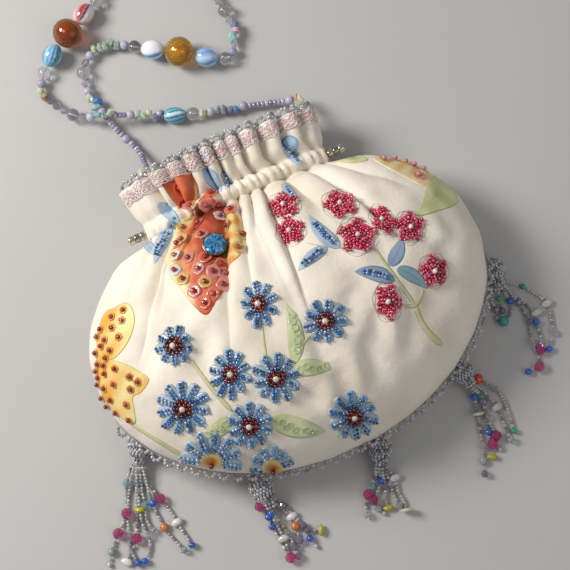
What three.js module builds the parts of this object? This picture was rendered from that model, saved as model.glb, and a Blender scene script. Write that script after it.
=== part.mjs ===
// A gathered cloth pouch with a bead strap and bead tassels, lying on its back.
// Millimetres. +X runs along the mouth, +Y from the pouch up to the mouth, +Z from the floor to the front.
// The origin is on the floor, in the middle of the flattened back.
import * as THREE from "three";

// Driving dimensions of the pouch
const HALF_WIDTH = 90; // half the width at the widest line, y = 0
const CHIN = 68; // depth of the ellipse that the outline follows below the widest line
const SEAM_END = 67.5; // where the two panels close on each other, just short of the ellipse's end
const SHOULDER = 60; // height of the ellipse that the shoulders follow
const PUFF = 54; // height of the front above the floor at the widest line
const NECK_Y = 50.3; // lower stitch line of the drawstring casing
const NECK_HALF = 43.5; // half the gathered width at the casing
const SEAM_LOW = 13; // height of the side seam at the bottom
const SEAM_HIGH = 18.5; // height of the side seam at the neck
const WALL = 1.6; // cloth and lining
const GAP = 0.3; // between pieces that touch
const BACK_FLAT = 0.6; // share of the back that lies flat on the floor
const SHARPNESS = 1.5; // higher makes the creases narrower

// Sections across the pouch, from the mouth's edge down. Below the widest line the shape is an ellipsoid.
// half: half width, front and back: heights of the two cloth layers, crease: share of a crease's depth.
const SECTIONS = [
  { y: 75.0, half: 47.5, front: 34.0, back: 4.0, crease: 0.85 },
  { y: 69.0, half: 46.5, front: 33.0, back: 5.0, crease: 1.0 },
  { y: 62.0, half: 45.0, front: 30.5, back: 7.5, crease: 0.95 },
  { y: 57.8, half: NECK_HALF, front: 27.5, back: 10.0, crease: 0.7 },
  { y: 54.0, half: NECK_HALF, front: 29.5, back: 8.5, crease: 0.55 },
  { y: NECK_Y, half: NECK_HALF, front: 28.0, back: 10.0, crease: 0.75 },
  { y: 46.0, half: 60.0, front: 33.0, back: 6.0, crease: 1.0 },
  { y: 40.0, half: 68.5, front: 38.5, back: 3.0, crease: 1.0 },
  { y: 32.0, half: 77.0, front: 44.0, back: 0.8, crease: 0.95 },
  { y: 22.0, half: 84.2, front: 49.0, back: 0.0, crease: 0.85 },
  { y: 10.0, half: 88.7, front: 52.5, back: 0.0, crease: 0.75 },
  { y: -4.0, half: 89.8, front: PUFF, back: 0.0, crease: 0.65 },
  { y: -18.0, half: 86.8, front: PUFF, back: 0.0, crease: 0.5 },
  { y: -31.0, half: 80.1, front: PUFF, back: 0.0, crease: 0.35 },
  { y: -43.0, half: 69.7, front: PUFF, back: 0.0, crease: 0.2 },
  { y: -53.0, half: 56.4, front: PUFF, back: 0.0, crease: 0.1 },
  { y: -60.5, half: 41.1, front: PUFF, back: 0.0, crease: 0.0 },
  { y: -65.0, half: 26.4, front: PUFF, back: 0.0, crease: 0.0 },
  { y: -SEAM_END, half: 10.9, front: PUFF, back: 0.0, crease: 0.0 },
];

// Creases of the gathered front. neckX: place on the casing, run: sideways travel for each mm down the pouch,
// depth: at the casing, reach: the y where the crease has faded out.
const FRONT_CREASES = [
  { neckX: -39.0, run: -1.0, depth: 2.2, reach: 22 },
  { neckX: -30.5, run: -0.76, depth: 3.6, reach: 0 },
  { neckX: -18.0, run: -1.0, depth: 2.2, reach: 30 },
  { neckX: -7.5, run: -0.385, depth: 3.4, reach: -25 },
  { neckX: -1.0, run: -0.27, depth: 3.0, reach: 5 },
  { neckX: 5.0, run: -0.28, depth: 2.4, reach: 30 },
  { neckX: 11.0, run: -0.11, depth: 3.4, reach: -20 },
  { neckX: 22.0, run: 0.25, depth: 2.6, reach: 25 },
  { neckX: 33.0, run: 0.48, depth: 3.6, reach: 3 },
  { neckX: 41.0, run: 0.95, depth: 2.4, reach: 20 },
];
const BACK_CREASE_COUNT = 6;
const BACK_CREASES = Array.from({ length: BACK_CREASE_COUNT }, (_, i) => {
  const neckX = NECK_HALF * ((2 * (i + 1)) / (BACK_CREASE_COUNT + 1) - 1);
  return { neckX, run: 0.016 * neckX, depth: 2.0, reach: 26 };
});

// Trims
const LACE = { low: 68.2, high: 74.2, thick: 0.9 }; // band on the header, y from low to high
const PICOT_PITCH = 6; // one picot of seed beads on the edges every so far
const PICOT_R = { thread: 0.7, bead: 1.6 };
const MOUTH_PICOT_LIFT = 1.9; // picot line beyond the mouth's edge
const SEAM_PICOT_OUT = 2.1; // picot line outside the seam
const SEAM_PICOT_TOP = -15; // highest y of the picots on the side seam
const STRING_BEAD = { y: 54, r: 2.0, length: 2.6, count: 3 }; // metal beads on the drawstring's ends

// Rhinestone on the front. upright: how far it turns from the cloth's slope towards +Z, from 0 to 1
const STONE = { x: -19.7, y: 30.9, r: 4.7, table: 2.6, height: 2.4, upright: 0.5 };
const CUP = { r: 5.1, height: 2.2, floor: 0.7, lift: 0.35 }; // lift: clear of the curved cloth under it

// Tassels: place of the cap's middle, and the far end of the strands, on the floor.
// reach: how far the cap's thread goes on past the smooth shape of the back, to its flat facet
const CAP = { r: 5.4, seamInset: 0.9, threadR: 0.8 };
const SKIRT = { neckHalf: 3.0, high: 5.0, low: 0.4, tipHigh: 3.2 };
const TASSELS = [
  { name: "tassel_1", capX: -85.5, capY: -29.5, endX: -98.0, endY: -77.0, half: 15, reach: 1.6 },
  { name: "tassel_2", capX: -42.5, capY: -66.5, endX: -38.0, endY: -97.0, half: 10, reach: 0.8 },
  { name: "tassel_3", capX: 10.5, capY: -74.0, endX: 3.0, endY: -100.0, half: 9, reach: 0.6 },
  { name: "tassel_4", capX: 57.5, capY: -58.0, endX: 60.0, endY: -103.0, half: 9, reach: 1.15 },
  { name: "tassel_5", capX: 91.5, capY: -22.5, endX: 93.0, endY: -69.0, half: 12, reach: 1.65 },
];

// Strap: its route over the floor, from inside the mouth at the right, round the loop, to the mouth's left
const STRAP_REST = 3.2; // height of the thread where the strap lies on the floor
const STRAP_ROUTE = [
  [42.2, 63.5, 18.0], [41.4, 72.0, 16.4], [43.6, 80.5, 11.8], [43.0, 86.2, 6.5], [36.5, 89.2, 3.8],
  [26.0, 92.7, STRAP_REST], [15.7, 96.0, STRAP_REST], [5.0, 98.4, STRAP_REST], [-9.6, 103.4, STRAP_REST],
  [-22.0, 108.8, 4.2], [-30.0, 111.6, 6.6], [-37.0, 114.0, 8.6], [-44.0, 117.0, 6.6], [-50.5, 121.2, 4.2],
  [-56.0, 128.0, STRAP_REST], [-59.3, 136.0, STRAP_REST], [-58.8, 143.5, STRAP_REST], [-50.0, 152.0, 5.0],
  [-39.7, 157.9, 7.0], [-29.4, 164.2, 5.0], [-18.5, 170.5, STRAP_REST], [-6.0, 182.0, STRAP_REST],
  [2.0, 196.0, STRAP_REST], [6.0, 214.0, STRAP_REST], [8.0, 236.0, 4.6], [14.0, 262.0, 7.0],
  [24.0, 283.0, 4.6], [41.0, 297.0, STRAP_REST], [62.0, 300.0, STRAP_REST], [80.0, 290.0, STRAP_REST],
  [87.0, 271.0, 4.6], [83.0, 250.0, 7.0], [73.0, 228.0, 4.6], [61.0, 208.0, STRAP_REST],
  [49.0, 188.0, STRAP_REST], [38.0, 170.0, STRAP_REST], [30.5, 154.0, STRAP_REST],
  [31.4, 140.0, STRAP_REST], [31.0, 128.0, STRAP_REST], [26.0, 119.6, STRAP_REST], [18.6, 119.6, 4.4],
  [4.5, 128.7, 7.0], [-9.0, 137.4, 4.8], [-19.0, 144.8, STRAP_REST], [-29.0, 147.2, STRAP_REST],
  [-37.8, 142.8, STRAP_REST], [-41.2, 134.0, STRAP_REST], [-40.4, 124.0, STRAP_REST],
  [-38.2, 113.6, STRAP_REST], [-35.2, 104.5, STRAP_REST], [-31.6, 95.5, STRAP_REST], [-31.4, 87.4, 7.0],
  [-35.0, 79.6, 13.0], [-39.6, 72.0, 16.5], [-42.2, 63.5, 18.0],
];
const ROUTE_STEPS = 2400;

// Kinds of bead on the strap: length along the thread and radius
const BEADS = {
  round: { length: 13.2, r: 7.0, colour: 0xb8791c },
  oval: { length: 11.2, r: 4.5, colour: 0x7fa9d8 },
  barrel: { length: 10.0, r: 3.7, colour: 0x4f97b5 },
};
// Large beads: nearest route point to each bead's middle, in order along the strap
const LARGE_BEADS = [
  { name: "strap_barrel_1", kind: "barrel", x: -9.6, y: 103.4 },
  { name: "strap_oval_1", kind: "oval", x: -49.6, y: 152.2 },
  { name: "strap_round_1", kind: "round", x: -39.7, y: 157.9 },
  { name: "strap_oval_2", kind: "oval", x: -29.6, y: 164.0 },
  { name: "strap_oval_3", kind: "oval", x: 10.8, y: 251.2 },
  { name: "strap_round_2", kind: "round", x: 14.2, y: 262.4 },
  { name: "strap_oval_4", kind: "oval", x: 19.4, y: 272.6 },
  { name: "strap_oval_5", kind: "oval", x: 85.6, y: 261.6 },
  { name: "strap_round_3", kind: "round", x: 82.9, y: 250.0 },
  { name: "strap_oval_6", kind: "oval", x: 78.2, y: 239.4 },
  { name: "strap_oval_7", kind: "oval", x: 14.4, y: 122.2 },
  { name: "strap_round_4", kind: "round", x: 4.5, y: 128.7 },
  { name: "strap_oval_8", kind: "oval", x: -5.2, y: 134.9 },
];
// Small beads between them: s seed, p frosted round, k stone chip, g clear round, b cut crystal
const SMALL = {
  s: { length: 1.9, r: 1.4 },
  p: { length: 4.4, r: 2.2 },
  k: { length: 2.7, r: 2.6 },
  g: { length: 6.2, r: 3.1 },
  b: { length: 4.2, r: 1.9 },
};
// One row for each stretch of small beads; pieces: how many nodes the stretch is split into
const STRETCHES = [
  { pattern: "sssssssssskkkpssssssssspkkkkpkg", pieces: 2 },
  { pattern: "kkkkkpssskbkpbgbbbkkpg", pieces: 2 },
  { pattern: "gpkkbsssssspkkkpgbkkpsssspkkbg", pieces: 2 },
  { pattern: "gpkkkpsssssspkkpgbpkkbgpkkps", pieces: 2 },
  { pattern: "gpkkbsssspkkkpgbkkpsssssspkkpbgbgbkkkbpg", pieces: 3 },
  { pattern: "gpkkkkkpbgbpkkkpssssssspsssssssspkkksssssssss", pieces: 3 },
];
const STRAND = { sides: 6, threadR: 0.6 };

// Colours and finishes
function finish(color, roughness, metalness = 0) {
  return new THREE.MeshStandardMaterial({ color, roughness, metalness });
}
const CLOTH = finish(0xece4d2, 0.75);
const LACE_FINISH = finish(0xe3b8b0, 0.7);
const CLEAR_BEADS = finish(0x9c969b, 0.15);
const METAL = finish(0xb9ac92, 0.35, 0.9);
const STONE_FINISH = finish(0x1d6f9c, 0.08);
const STRAND_FINISH = finish(0xa79ac4, 0.25);

const clamp = (t) => Math.min(1, Math.max(0, t));
const lerp = (a, b, t) => a + (b - a) * t;
const smooth = (t) => clamp(t) ** 2 * (3 - 2 * clamp(t));

// The pouch's cloth, as points on either side of the seam

const seamHeight = (y) => lerp(SEAM_LOW, SEAM_HIGH, clamp((y + CHIN) / (NECK_Y + CHIN)));

// The half width at y, along straight lines between the sections.
function halfWidth(y) {
  const k = SECTIONS.findIndex((s) => s.y <= y);
  const [above, below] = [SECTIONS[Math.max(k - 1, 0)], SECTIONS[Math.max(k, 1)]];
  return lerp(above.half, below.half, (above.y - y) / (above.y - below.y));
}

// Where a crease crosses the section at y. Above the neck and below its reach it keeps its share of width.
function creaseX(crease, y) {
  if (y >= NECK_Y) return (crease.neckX * halfWidth(y)) / NECK_HALF;
  const end = Math.max(y, crease.reach);
  return ((crease.neckX + crease.run * (NECK_Y - end)) * halfWidth(y)) / halfWidth(end);
}

function creaseDepth(crease, section) {
  const left = (section.y - crease.reach) / (NECK_Y - crease.reach);
  const fade = section.y >= NECK_Y ? 1 : Math.sqrt(smooth(left));
  return crease.depth * section.crease * fade;
}

// A point of the cloth's outer face and the direction into the pouch there.
// The section is an arch from seam to seam that stays flat over the middle share given by flat.
function clothPoint(section, x, side, flat) {
  const half = section.half;
  const low = clamp(-section.y / SEAM_END);
  const along = clamp((Math.abs(x) / half - flat) / (1 - flat));
  const down = clamp((low - flat) / (1 - flat));
  const height = Math.sqrt((1 - along ** 2) * (1 - down ** 2));
  const seam = seamHeight(section.y) + (side * GAP) / 2;
  const crown = side > 0 ? section.front : section.back;
  const across = new THREE.Vector2((Math.sign(x) * along) / HALF_WIDTH, -down / CHIN).normalize();
  const lean = Math.sqrt(Math.max(0, 1 - height ** 2));
  return {
    point: new THREE.Vector3(x, section.y, seam + (crown - seam) * height),
    inward: new THREE.Vector3(-across.x * lean, -across.y * lean, -side * height).normalize(),
  };
}

// One row of points across a section: some columns between each pair of creases, sunk towards each crease.
function clothRow(section, creases, columns, side, flat) {
  const edge = { depth: 0 };
  const lines = [edge, ...creases, edge];
  const places = [-section.half, ...creases.map((c) => creaseX(c, section.y)), section.half];
  const row = [];
  for (let k = 0; k + 1 < lines.length; k++) {
    for (let c = k ? 1 : 0; c <= columns; c++) {
      const t = c / columns;
      const at = clothPoint(section, lerp(places[k], places[k + 1], t), side, flat);
      const depths = [lines[k], lines[k + 1]].map((l) => (l.depth ? creaseDepth(l, section) : 0));
      const sink = lerp(depths[0], depths[1], t) * (1 - Math.sin(Math.PI * t)) ** SHARPNESS;
      at.point.addScaledVector(at.inward, sink);
      row.push(at);
    }
  }
  return row;
}

// A closed shell between two grids of points of the same size, a and b. The faces of a turn away from b.
function shellGeometry(a, b) {
  const [rows, columns] = [a.length, a[0].length];
  const positions = [...a, ...b].flat().flatMap((p) => p.toArray());
  const at = (grid, i, j) => grid * rows * columns + i * columns + j;
  const index = [];
  const quad = (p, q, r, s) => index.push(p, q, r, p, r, s);
  for (let i = 0; i + 1 < rows; i++) {
    for (let j = 0; j + 1 < columns; j++) {
      quad(at(0, i, j), at(0, i + 1, j), at(0, i + 1, j + 1), at(0, i, j + 1));
      quad(at(1, i, j), at(1, i, j + 1), at(1, i + 1, j + 1), at(1, i + 1, j));
    }
    quad(at(0, i, 0), at(1, i, 0), at(1, i + 1, 0), at(0, i + 1, 0));
    quad(at(0, i, columns - 1), at(0, i + 1, columns - 1), at(1, i + 1, columns - 1), at(1, i, columns - 1));
  }
  for (let j = 0; j + 1 < columns; j++) {
    quad(at(0, 0, j), at(0, 0, j + 1), at(1, 0, j + 1), at(1, 0, j));
    quad(at(0, rows - 1, j), at(1, rows - 1, j), at(1, rows - 1, j + 1), at(0, rows - 1, j + 1));
  }
  const geometry = new THREE.BufferGeometry();
  geometry.setAttribute("position", new THREE.Float32BufferAttribute(positions, 3));
  geometry.setIndex(index);
  return geometry;
}

// A cloth layer between two inward offsets from its outer face. The back's faces turn the other way.
function clothShell(sections, creases, columns, side, from, to) {
  const flat = side > 0 ? 0 : BACK_FLAT;
  const rows = sections.map((s) => clothRow(s, creases, columns, side, flat));
  const moved = (p, offset) => p.point.clone().addScaledVector(p.inward, offset);
  const layer = (offset) => rows.map((row) => row.map((p) => moved(p, offset)));
  return side > 0 ? shellGeometry(layer(from), layer(to)) : shellGeometry(layer(to), layer(from));
}

// A section between the listed ones, for trims that start and end elsewhere.
function sectionAt(y) {
  const k = SECTIONS.findIndex((s) => s.y <= y);
  const [above, below] = [SECTIONS[k - 1], SECTIONS[k]];
  const t = (above.y - y) / (above.y - below.y);
  const mix = (key) => lerp(above[key], below[key], t);
  return { y, half: mix("half"), front: mix("front"), back: mix("back"), crease: mix("crease") };
}

// Strings of beads

// A closed skin over rings of the same number of sides, one after the other, with flat ends.
function ringGeometry(positions, rings, sides) {
  const index = [];
  const at = (i, k) => i * sides + (k % sides);
  for (let i = 0; i + 1 < rings; i++) {
    for (let k = 0; k < sides; k++) {
      index.push(at(i, k), at(i, k + 1), at(i + 1, k + 1), at(i, k), at(i + 1, k + 1), at(i + 1, k));
    }
  }
  const last = rings - 1;
  for (let k = 1; k + 1 < sides; k++) {
    index.push(at(0, 0), at(0, k + 1), at(0, k), at(last, 0), at(last, k), at(last, k + 1));
  }
  const geometry = new THREE.BufferGeometry();
  geometry.setAttribute("position", new THREE.Float32BufferAttribute(positions, 3));
  geometry.setIndex(index);
  return geometry;
}

// A tube of changing radius through stations { point, r }, closed by flat ends.
function beadTube(stations, sides) {
  const points = stations.map((s) => s.point);
  const positions = [];
  let normal = new THREE.Vector3(0, 0, 1);
  stations.forEach(({ point, r }, i) => {
    const ahead = points[Math.min(i + 1, points.length - 1)];
    const behind = points[Math.max(i - 1, 0)];
    const tangent = ahead.clone().sub(behind).normalize();
    normal = normal.clone().addScaledVector(tangent, -normal.dot(tangent)).normalize();
    const binormal = tangent.clone().cross(normal);
    for (let k = 0; k < sides; k++) {
      const angle = (2 * Math.PI * k) / sides;
      const place = point.clone();
      place.addScaledVector(normal, r * Math.cos(angle)).addScaledVector(binormal, r * Math.sin(angle));
      positions.push(...place.toArray());
    }
  });
  return ringGeometry(positions, stations.length, sides);
}

// A solid of revolution about its own length, from rows of [distance along the axis, radius].
function turned(profile, segments) {
  return new THREE.LatheGeometry(profile.map(([along, r]) => new THREE.Vector2(r, along)), segments);
}

// Points of a bead of revolution, round or barrel shaped, from end to end.
function beadProfile(length, r, steps, fullness) {
  return Array.from({ length: steps + 1 }, (_, i) => {
    const t = i / steps;
    return [(t - 0.5) * length, i % steps ? r * Math.sin(Math.PI * t) ** fullness : 0];
  });
}

const group = new THREE.Group();
function addMesh(name, geometry, material) {
  const mesh = new THREE.Mesh(geometry, material);
  mesh.name = name;
  group.add(mesh);
  return mesh;
}
// Turns a mesh made along +Y to lie along a direction, with its origin at a place.
function lay(mesh, place, direction) {
  mesh.position.copy(place);
  mesh.quaternion.setFromUnitVectors(new THREE.Vector3(0, 1, 0), direction.clone().normalize());
}

// Pouch
const FRONT_COLUMNS = 4;
const BACK_COLUMNS = 3;
addMesh("front_panel", clothShell(SECTIONS, FRONT_CREASES, FRONT_COLUMNS, 1, 0, WALL), CLOTH);
addMesh("back_panel", clothShell(SECTIONS, BACK_CREASES, BACK_COLUMNS, -1, 0, WALL), CLOTH);

// Lace band on the header, front and back
const laceSections = [LACE.high, (LACE.high + LACE.low) / 2, LACE.low].map(sectionAt);
function laceShell(creases, columns, side) {
  return clothShell(laceSections, creases, columns, side, -GAP - LACE.thick, -GAP);
}
addMesh("lace_front", laceShell(FRONT_CREASES, FRONT_COLUMNS, 1), LACE_FINISH);
addMesh("lace_back", laceShell(BACK_CREASES, BACK_COLUMNS, -1), LACE_FINISH);

// Bead edging: a picot swells out of the thread at every pitch of a line of points
function picotString(line, name) {
  const curve = new THREE.CatmullRomCurve3(line);
  const picots = Math.round(curve.getLength() / PICOT_PITCH);
  const stations = Array.from({ length: 2 * picots + 1 }, (_, i) => ({
    point: curve.getPointAt(i / (2 * picots)),
    r: i % 2 ? PICOT_R.bead : PICOT_R.thread,
  }));
  addMesh(name, beadTube(stations, STRAND.sides), CLEAR_BEADS);
}
function mouthLine(creases, columns, side) {
  const row = clothRow(SECTIONS[0], creases, columns, side, side > 0 ? 0 : BACK_FLAT);
  const line = row.map((p) => p.point.clone().addScaledVector(p.inward, WALL / 2));
  return line.slice(1, -1).map((p) => p.add(new THREE.Vector3(0, MOUTH_PICOT_LIFT, 0)));
}
picotString(mouthLine(FRONT_CREASES, FRONT_COLUMNS, 1), "mouth_picots_front");
picotString(mouthLine(BACK_CREASES, BACK_COLUMNS, -1), "mouth_picots_back");

// A point on the seam's outline at an angle from the widest line, and the way out of the pouch there
function seamPoint(angle) {
  const [c, s] = [Math.cos(angle), Math.sin(angle)];
  const tall = s > 0 ? SHOULDER : CHIN;
  const point = new THREE.Vector3(HALF_WIDTH * c, tall * s, 0);
  point.z = seamHeight(point.y);
  return { point, out: new THREE.Vector3(c / HALF_WIDTH, s / tall, 0).normalize() };
}
const seamTop = Math.asin(SEAM_PICOT_TOP / CHIN);
const SEAM_STEPS = 32;
const seamLine = Array.from({ length: SEAM_STEPS + 1 }, (_, i) => {
  const { point, out } = seamPoint(Math.PI - seamTop + (i / SEAM_STEPS) * (Math.PI + 2 * seamTop));
  return point.addScaledVector(out, SEAM_PICOT_OUT);
});
picotString(seamLine, "seam_picots");

// Metal beads on the drawstring's two ends
for (const [name, side] of [["drawstring_beads_left", -1], ["drawstring_beads_right", 1]]) {
  const { y, count, length, r } = STRING_BEAD;
  const start = new THREE.Vector3(side * (NECK_HALF + GAP), y, seamHeight(y));
  const stations = [];
  for (let i = 0; i < 2 * count + 1; i++) {
    const point = start.clone().add(new THREE.Vector3((side * length * i) / 2, 0, 0));
    stations.push({ point, r: i % 2 ? r : STRAND.threadR });
  }
  addMesh(name, beadTube(stations, STRAND.sides), METAL);
}

// Rhinestone in its cup, on the ridge between two creases
const onFront = (dx, dy) => clothPoint(sectionAt(STONE.y + dy), STONE.x + dx, 1, 0).point;
const stoneSeat = onFront(0, 0);
const acrossStone = onFront(STONE.r, 0).sub(onFront(-STONE.r, 0));
const alongStone = onFront(0, STONE.r).sub(onFront(0, -STONE.r));
const slope = acrossStone.cross(alongStone).normalize();
const stoneUp = slope.clone().lerp(new THREE.Vector3(0, 0, 1), STONE.upright).normalize();
const tilt = Math.sqrt(1 - slope.dot(stoneUp) ** 2);
const cupProfile = [
  [0, 0], [0, CUP.r - 0.6], [CUP.height, CUP.r],
  [CUP.height, CUP.r - 0.4], [CUP.floor, CUP.r - 1.0], [CUP.floor, 0],
];
const stoneProfile = [[0, 0], [1.3, STONE.r - 0.5], [STONE.height, STONE.table], [STONE.height, 0]];
const STONE_SIDES = 12;
const cupLift = CUP.lift + CUP.r * tilt; // the cup's low edge rests on the slope
const cup = addMesh("rhinestone_cup", turned(cupProfile, STONE_SIDES), METAL);
lay(cup, stoneSeat.clone().addScaledVector(stoneUp, cupLift), stoneUp);
const stone = addMesh("rhinestone", turned(stoneProfile, STONE_SIDES), STONE_FINISH);
lay(stone, stoneSeat.clone().addScaledVector(stoneUp, cupLift + CUP.floor + GAP), stoneUp);

// Tassels: a beaded ball on a thread from under the seam, and the outer form of its strands on the floor
const BALL_STEPS = 6;
const BALL_SIDES = 10;
const SKIRT_SIDES = 10;
const SKIRT_ROWS = [0, 0.2, 0.5, 0.8, 1];
for (const { name, capX, capY, endX, endY, half, reach } of TASSELS) {
  const ball = new THREE.Vector3(capX, capY, CAP.r + GAP);
  const angle = Math.atan2(capY / CHIN, capX / HALF_WIDTH);
  const { point: seat, out } = seamPoint(angle);
  seat.addScaledVector(out, -CAP.seamInset);
  const seatSection = { ...sectionAt(seat.y), half: halfWidth(seat.y) };
  seat.copy(clothPoint(seatSection, seat.x, -1, BACK_FLAT).point);
  const fall = ball.clone().sub(seat);
  const drop = fall.length();
  const start = GAP + 0.2 - reach;
  const profile = [[start, 0], [start, CAP.threadR], [drop - 0.93 * CAP.r, CAP.threadR]];
  for (let i = 1; i < BALL_STEPS; i++) {
    const turn = (Math.PI * i) / BALL_STEPS;
    if (turn > 0.4) profile.push([drop - CAP.r * Math.cos(turn), CAP.r * Math.sin(turn)]);
  }
  profile.push([drop + CAP.r, 0]);
  lay(addMesh(name + "_cap", turned(profile, BALL_SIDES), CLEAR_BEADS), seat, fall);

  const run = new THREE.Vector3(endX - capX, endY - capY, 0);
  const way = run.clone().normalize();
  const aside = new THREE.Vector3(-way.y, way.x, 0);
  const root = ball.clone().addScaledVector(way, CAP.r + GAP);
  const length = run.length() - CAP.r - GAP;
  const positions = [];
  for (const t of SKIRT_ROWS) {
    const wide = lerp(SKIRT.neckHalf, half, smooth(t)) * (t === 1 ? 0.8 : 1);
    const high = lerp(SKIRT.high, SKIRT.tipHigh, t) / 2;
    for (let k = 0; k < SKIRT_SIDES; k++) {
      const turn = (2 * Math.PI * k) / SKIRT_SIDES;
      const place = root.clone().addScaledVector(way, t * length);
      place.addScaledVector(aside, wide * Math.cos(turn));
      place.z = SKIRT.low + high * (1 + Math.sin(turn));
      positions.push(...place.toArray());
    }
  }
  addMesh(name + "_strands", ringGeometry(positions, SKIRT_ROWS.length, SKIRT_SIDES), CLEAR_BEADS);
}

// Strap: distances are measured along a curve through the route's points
const routeCorners = STRAP_ROUTE.map((p) => new THREE.Vector3(...p));
const routeCurve = new THREE.CatmullRomCurve3(routeCorners, false, "catmullrom", 0.5);
const routePoints = routeCurve.getPoints(ROUTE_STEPS);
const routeAlong = [0];
for (let i = 1; i < routePoints.length; i++) {
  routeAlong.push(routeAlong[i - 1] + routePoints[i].distanceTo(routePoints[i - 1]));
}
const routeLength = routeAlong[routeAlong.length - 1];
function routeAt(distance) {
  const d = Math.min(Math.max(distance, 0), routeLength);
  const k = Math.max(1, routeAlong.findIndex((s) => s >= d));
  const t = (d - routeAlong[k - 1]) / (routeAlong[k] - routeAlong[k - 1]);
  return routePoints[k - 1].clone().lerp(routePoints[k], t);
}
function nearestAlong({ x, y }) {
  const far = routePoints.map((p) => Math.hypot(p.x - x, p.y - y));
  return routeAlong[far.indexOf(Math.min(...far))];
}

// Large beads, each pushed clear of the one before it
const BEAD_SIDES = 10;
const BEAD_STEPS = 6;
let taken = 0;
const stops = [];
for (const bead of LARGE_BEADS) {
  const { length, r, colour } = BEADS[bead.kind];
  const middle = Math.max(nearestAlong(bead), taken + GAP + length / 2);
  const [from, to] = [middle - length / 2, middle + length / 2];
  const fullness = bead.kind === "barrel" ? 0.3 : 0.65;
  const profile = beadProfile(length, r, BEAD_STEPS, fullness);
  const mesh = addMesh(bead.name, turned(profile, BEAD_SIDES), finish(colour, 0.15));
  const [start, end] = [routeAt(from), routeAt(to)];
  lay(mesh, start.clone().add(end).multiplyScalar(0.5), end.sub(start));
  stops.push({ from, to });
  taken = to;
}

// Stretches of small beads between the large ones, split into pieces that bend only a little
const LOOSE = 1; // a free stretch of thread longer than this holds small beads
let free = 0;
const spans = [];
for (const { from, to } of [...stops, { from: routeLength, to: routeLength }]) {
  if (from - free > LOOSE) spans.push({ from: free + GAP, to: from - GAP });
  free = to;
}
const CHIP_SHARE = 0.7; // a chip's girth as a share of its longest radius
spans.forEach(({ from, to }, n) => {
  const { pattern, pieces } = STRETCHES[n];
  const small = [...pattern].map((letter) => ({ letter, ...SMALL[letter] }));
  const stretch = (to - from) / small.reduce((sum, b) => sum + b.length, 0);
  const perPiece = Math.ceil(small.length / pieces);
  let along = from;
  for (let p = 0; p < pieces; p++) {
    const run = small.slice(p * perPiece, (p + 1) * perPiece);
    const begin = along + (p ? GAP / 2 : 0);
    const stations = [{ point: routeAt(begin), r: STRAND.threadR }];
    for (const { letter, length, r } of run) {
      const long = length * stretch;
      if (letter === "s") {
        stations.push({ point: routeAt(along + 0.5 * long), r });
      } else {
        const girth = letter === "k" ? r * CHIP_SHARE : r;
        if (along > begin) stations.push({ point: routeAt(along), r: STRAND.threadR });
        for (const t of [0.3, 0.7]) stations.push({ point: routeAt(along + t * long), r: girth });
      }
      along += long;
    }
    stations.push({ point: routeAt(along - (p + 1 < pieces ? GAP / 2 : 0)), r: STRAND.threadR });
    addMesh(`strap_strand_${n + 1}${"abc"[p]}`, beadTube(stations, STRAND.sides), STRAND_FINISH);
  }
});

export default group;
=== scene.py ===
import math

import bpy
import numpy as np
from bpy.props import FloatProperty, FloatVectorProperty, IntProperty, PointerProperty
from bpy.types import Operator, Panel, PropertyGroup
from mathutils import Matrix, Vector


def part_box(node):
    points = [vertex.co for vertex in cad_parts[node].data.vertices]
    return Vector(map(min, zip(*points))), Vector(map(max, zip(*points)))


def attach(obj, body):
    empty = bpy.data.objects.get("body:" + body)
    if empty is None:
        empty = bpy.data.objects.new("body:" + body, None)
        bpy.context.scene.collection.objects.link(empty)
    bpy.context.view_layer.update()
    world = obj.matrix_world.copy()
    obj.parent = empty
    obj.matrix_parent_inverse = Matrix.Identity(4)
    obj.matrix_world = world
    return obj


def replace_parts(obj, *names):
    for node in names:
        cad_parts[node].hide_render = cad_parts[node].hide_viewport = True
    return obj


bl_info = {
    "name": "Beaded Drawstring Bag",
    "version": (1, 0, 0),
    "blender": (4, 5, 0),
    "location": "View3D > Sidebar > Bag",
    "description": "Builds a gathered silk pouch with sewn beads, lace, bead tassels and a bead strap",
    "category": "Add Mesh",
}

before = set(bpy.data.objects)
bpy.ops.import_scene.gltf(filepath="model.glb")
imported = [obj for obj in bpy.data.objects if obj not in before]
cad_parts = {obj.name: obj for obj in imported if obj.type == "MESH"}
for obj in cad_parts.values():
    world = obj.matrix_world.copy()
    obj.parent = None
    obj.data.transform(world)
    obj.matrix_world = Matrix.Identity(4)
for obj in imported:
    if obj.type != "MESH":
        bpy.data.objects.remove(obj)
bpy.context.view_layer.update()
MM = 0.001
# start of each group's random draws
DRAWS = {"daisies": 11, "red flowers": 23, "sequins": 37, "leaf beads": 41, "lace": 53, "edging": 61,
         "stone": 71, "tassels": 83, "large beads": 97, "small beads": 101}


# Colours

def shade(code):
    """Linear colour of a six-figure screen colour; a linear colour stays as it is."""
    if not isinstance(code, str):
        return np.array(code)
    parts = np.array([int(code[k:k + 2], 16) for k in (0, 2, 4)]) / 255
    return np.where(parts <= 0.04045, parts / 12.92, ((parts + 0.055) / 1.055) ** 2.4)


def colour_setting(name, code, description):
    """A colour setting with its screen colour as the default."""
    return FloatVectorProperty(name=name, description=description, default=tuple(shade(code)),
                               subtype="COLOR", size=3, min=0.0, max=1.0)


def size_setting(name, millimetres, description):
    """A length setting in metres with its default given in millimetres."""
    return FloatProperty(name=name, description=description, default=millimetres * MM,
                         unit="LENGTH", min=0.0, precision=5)


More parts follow.
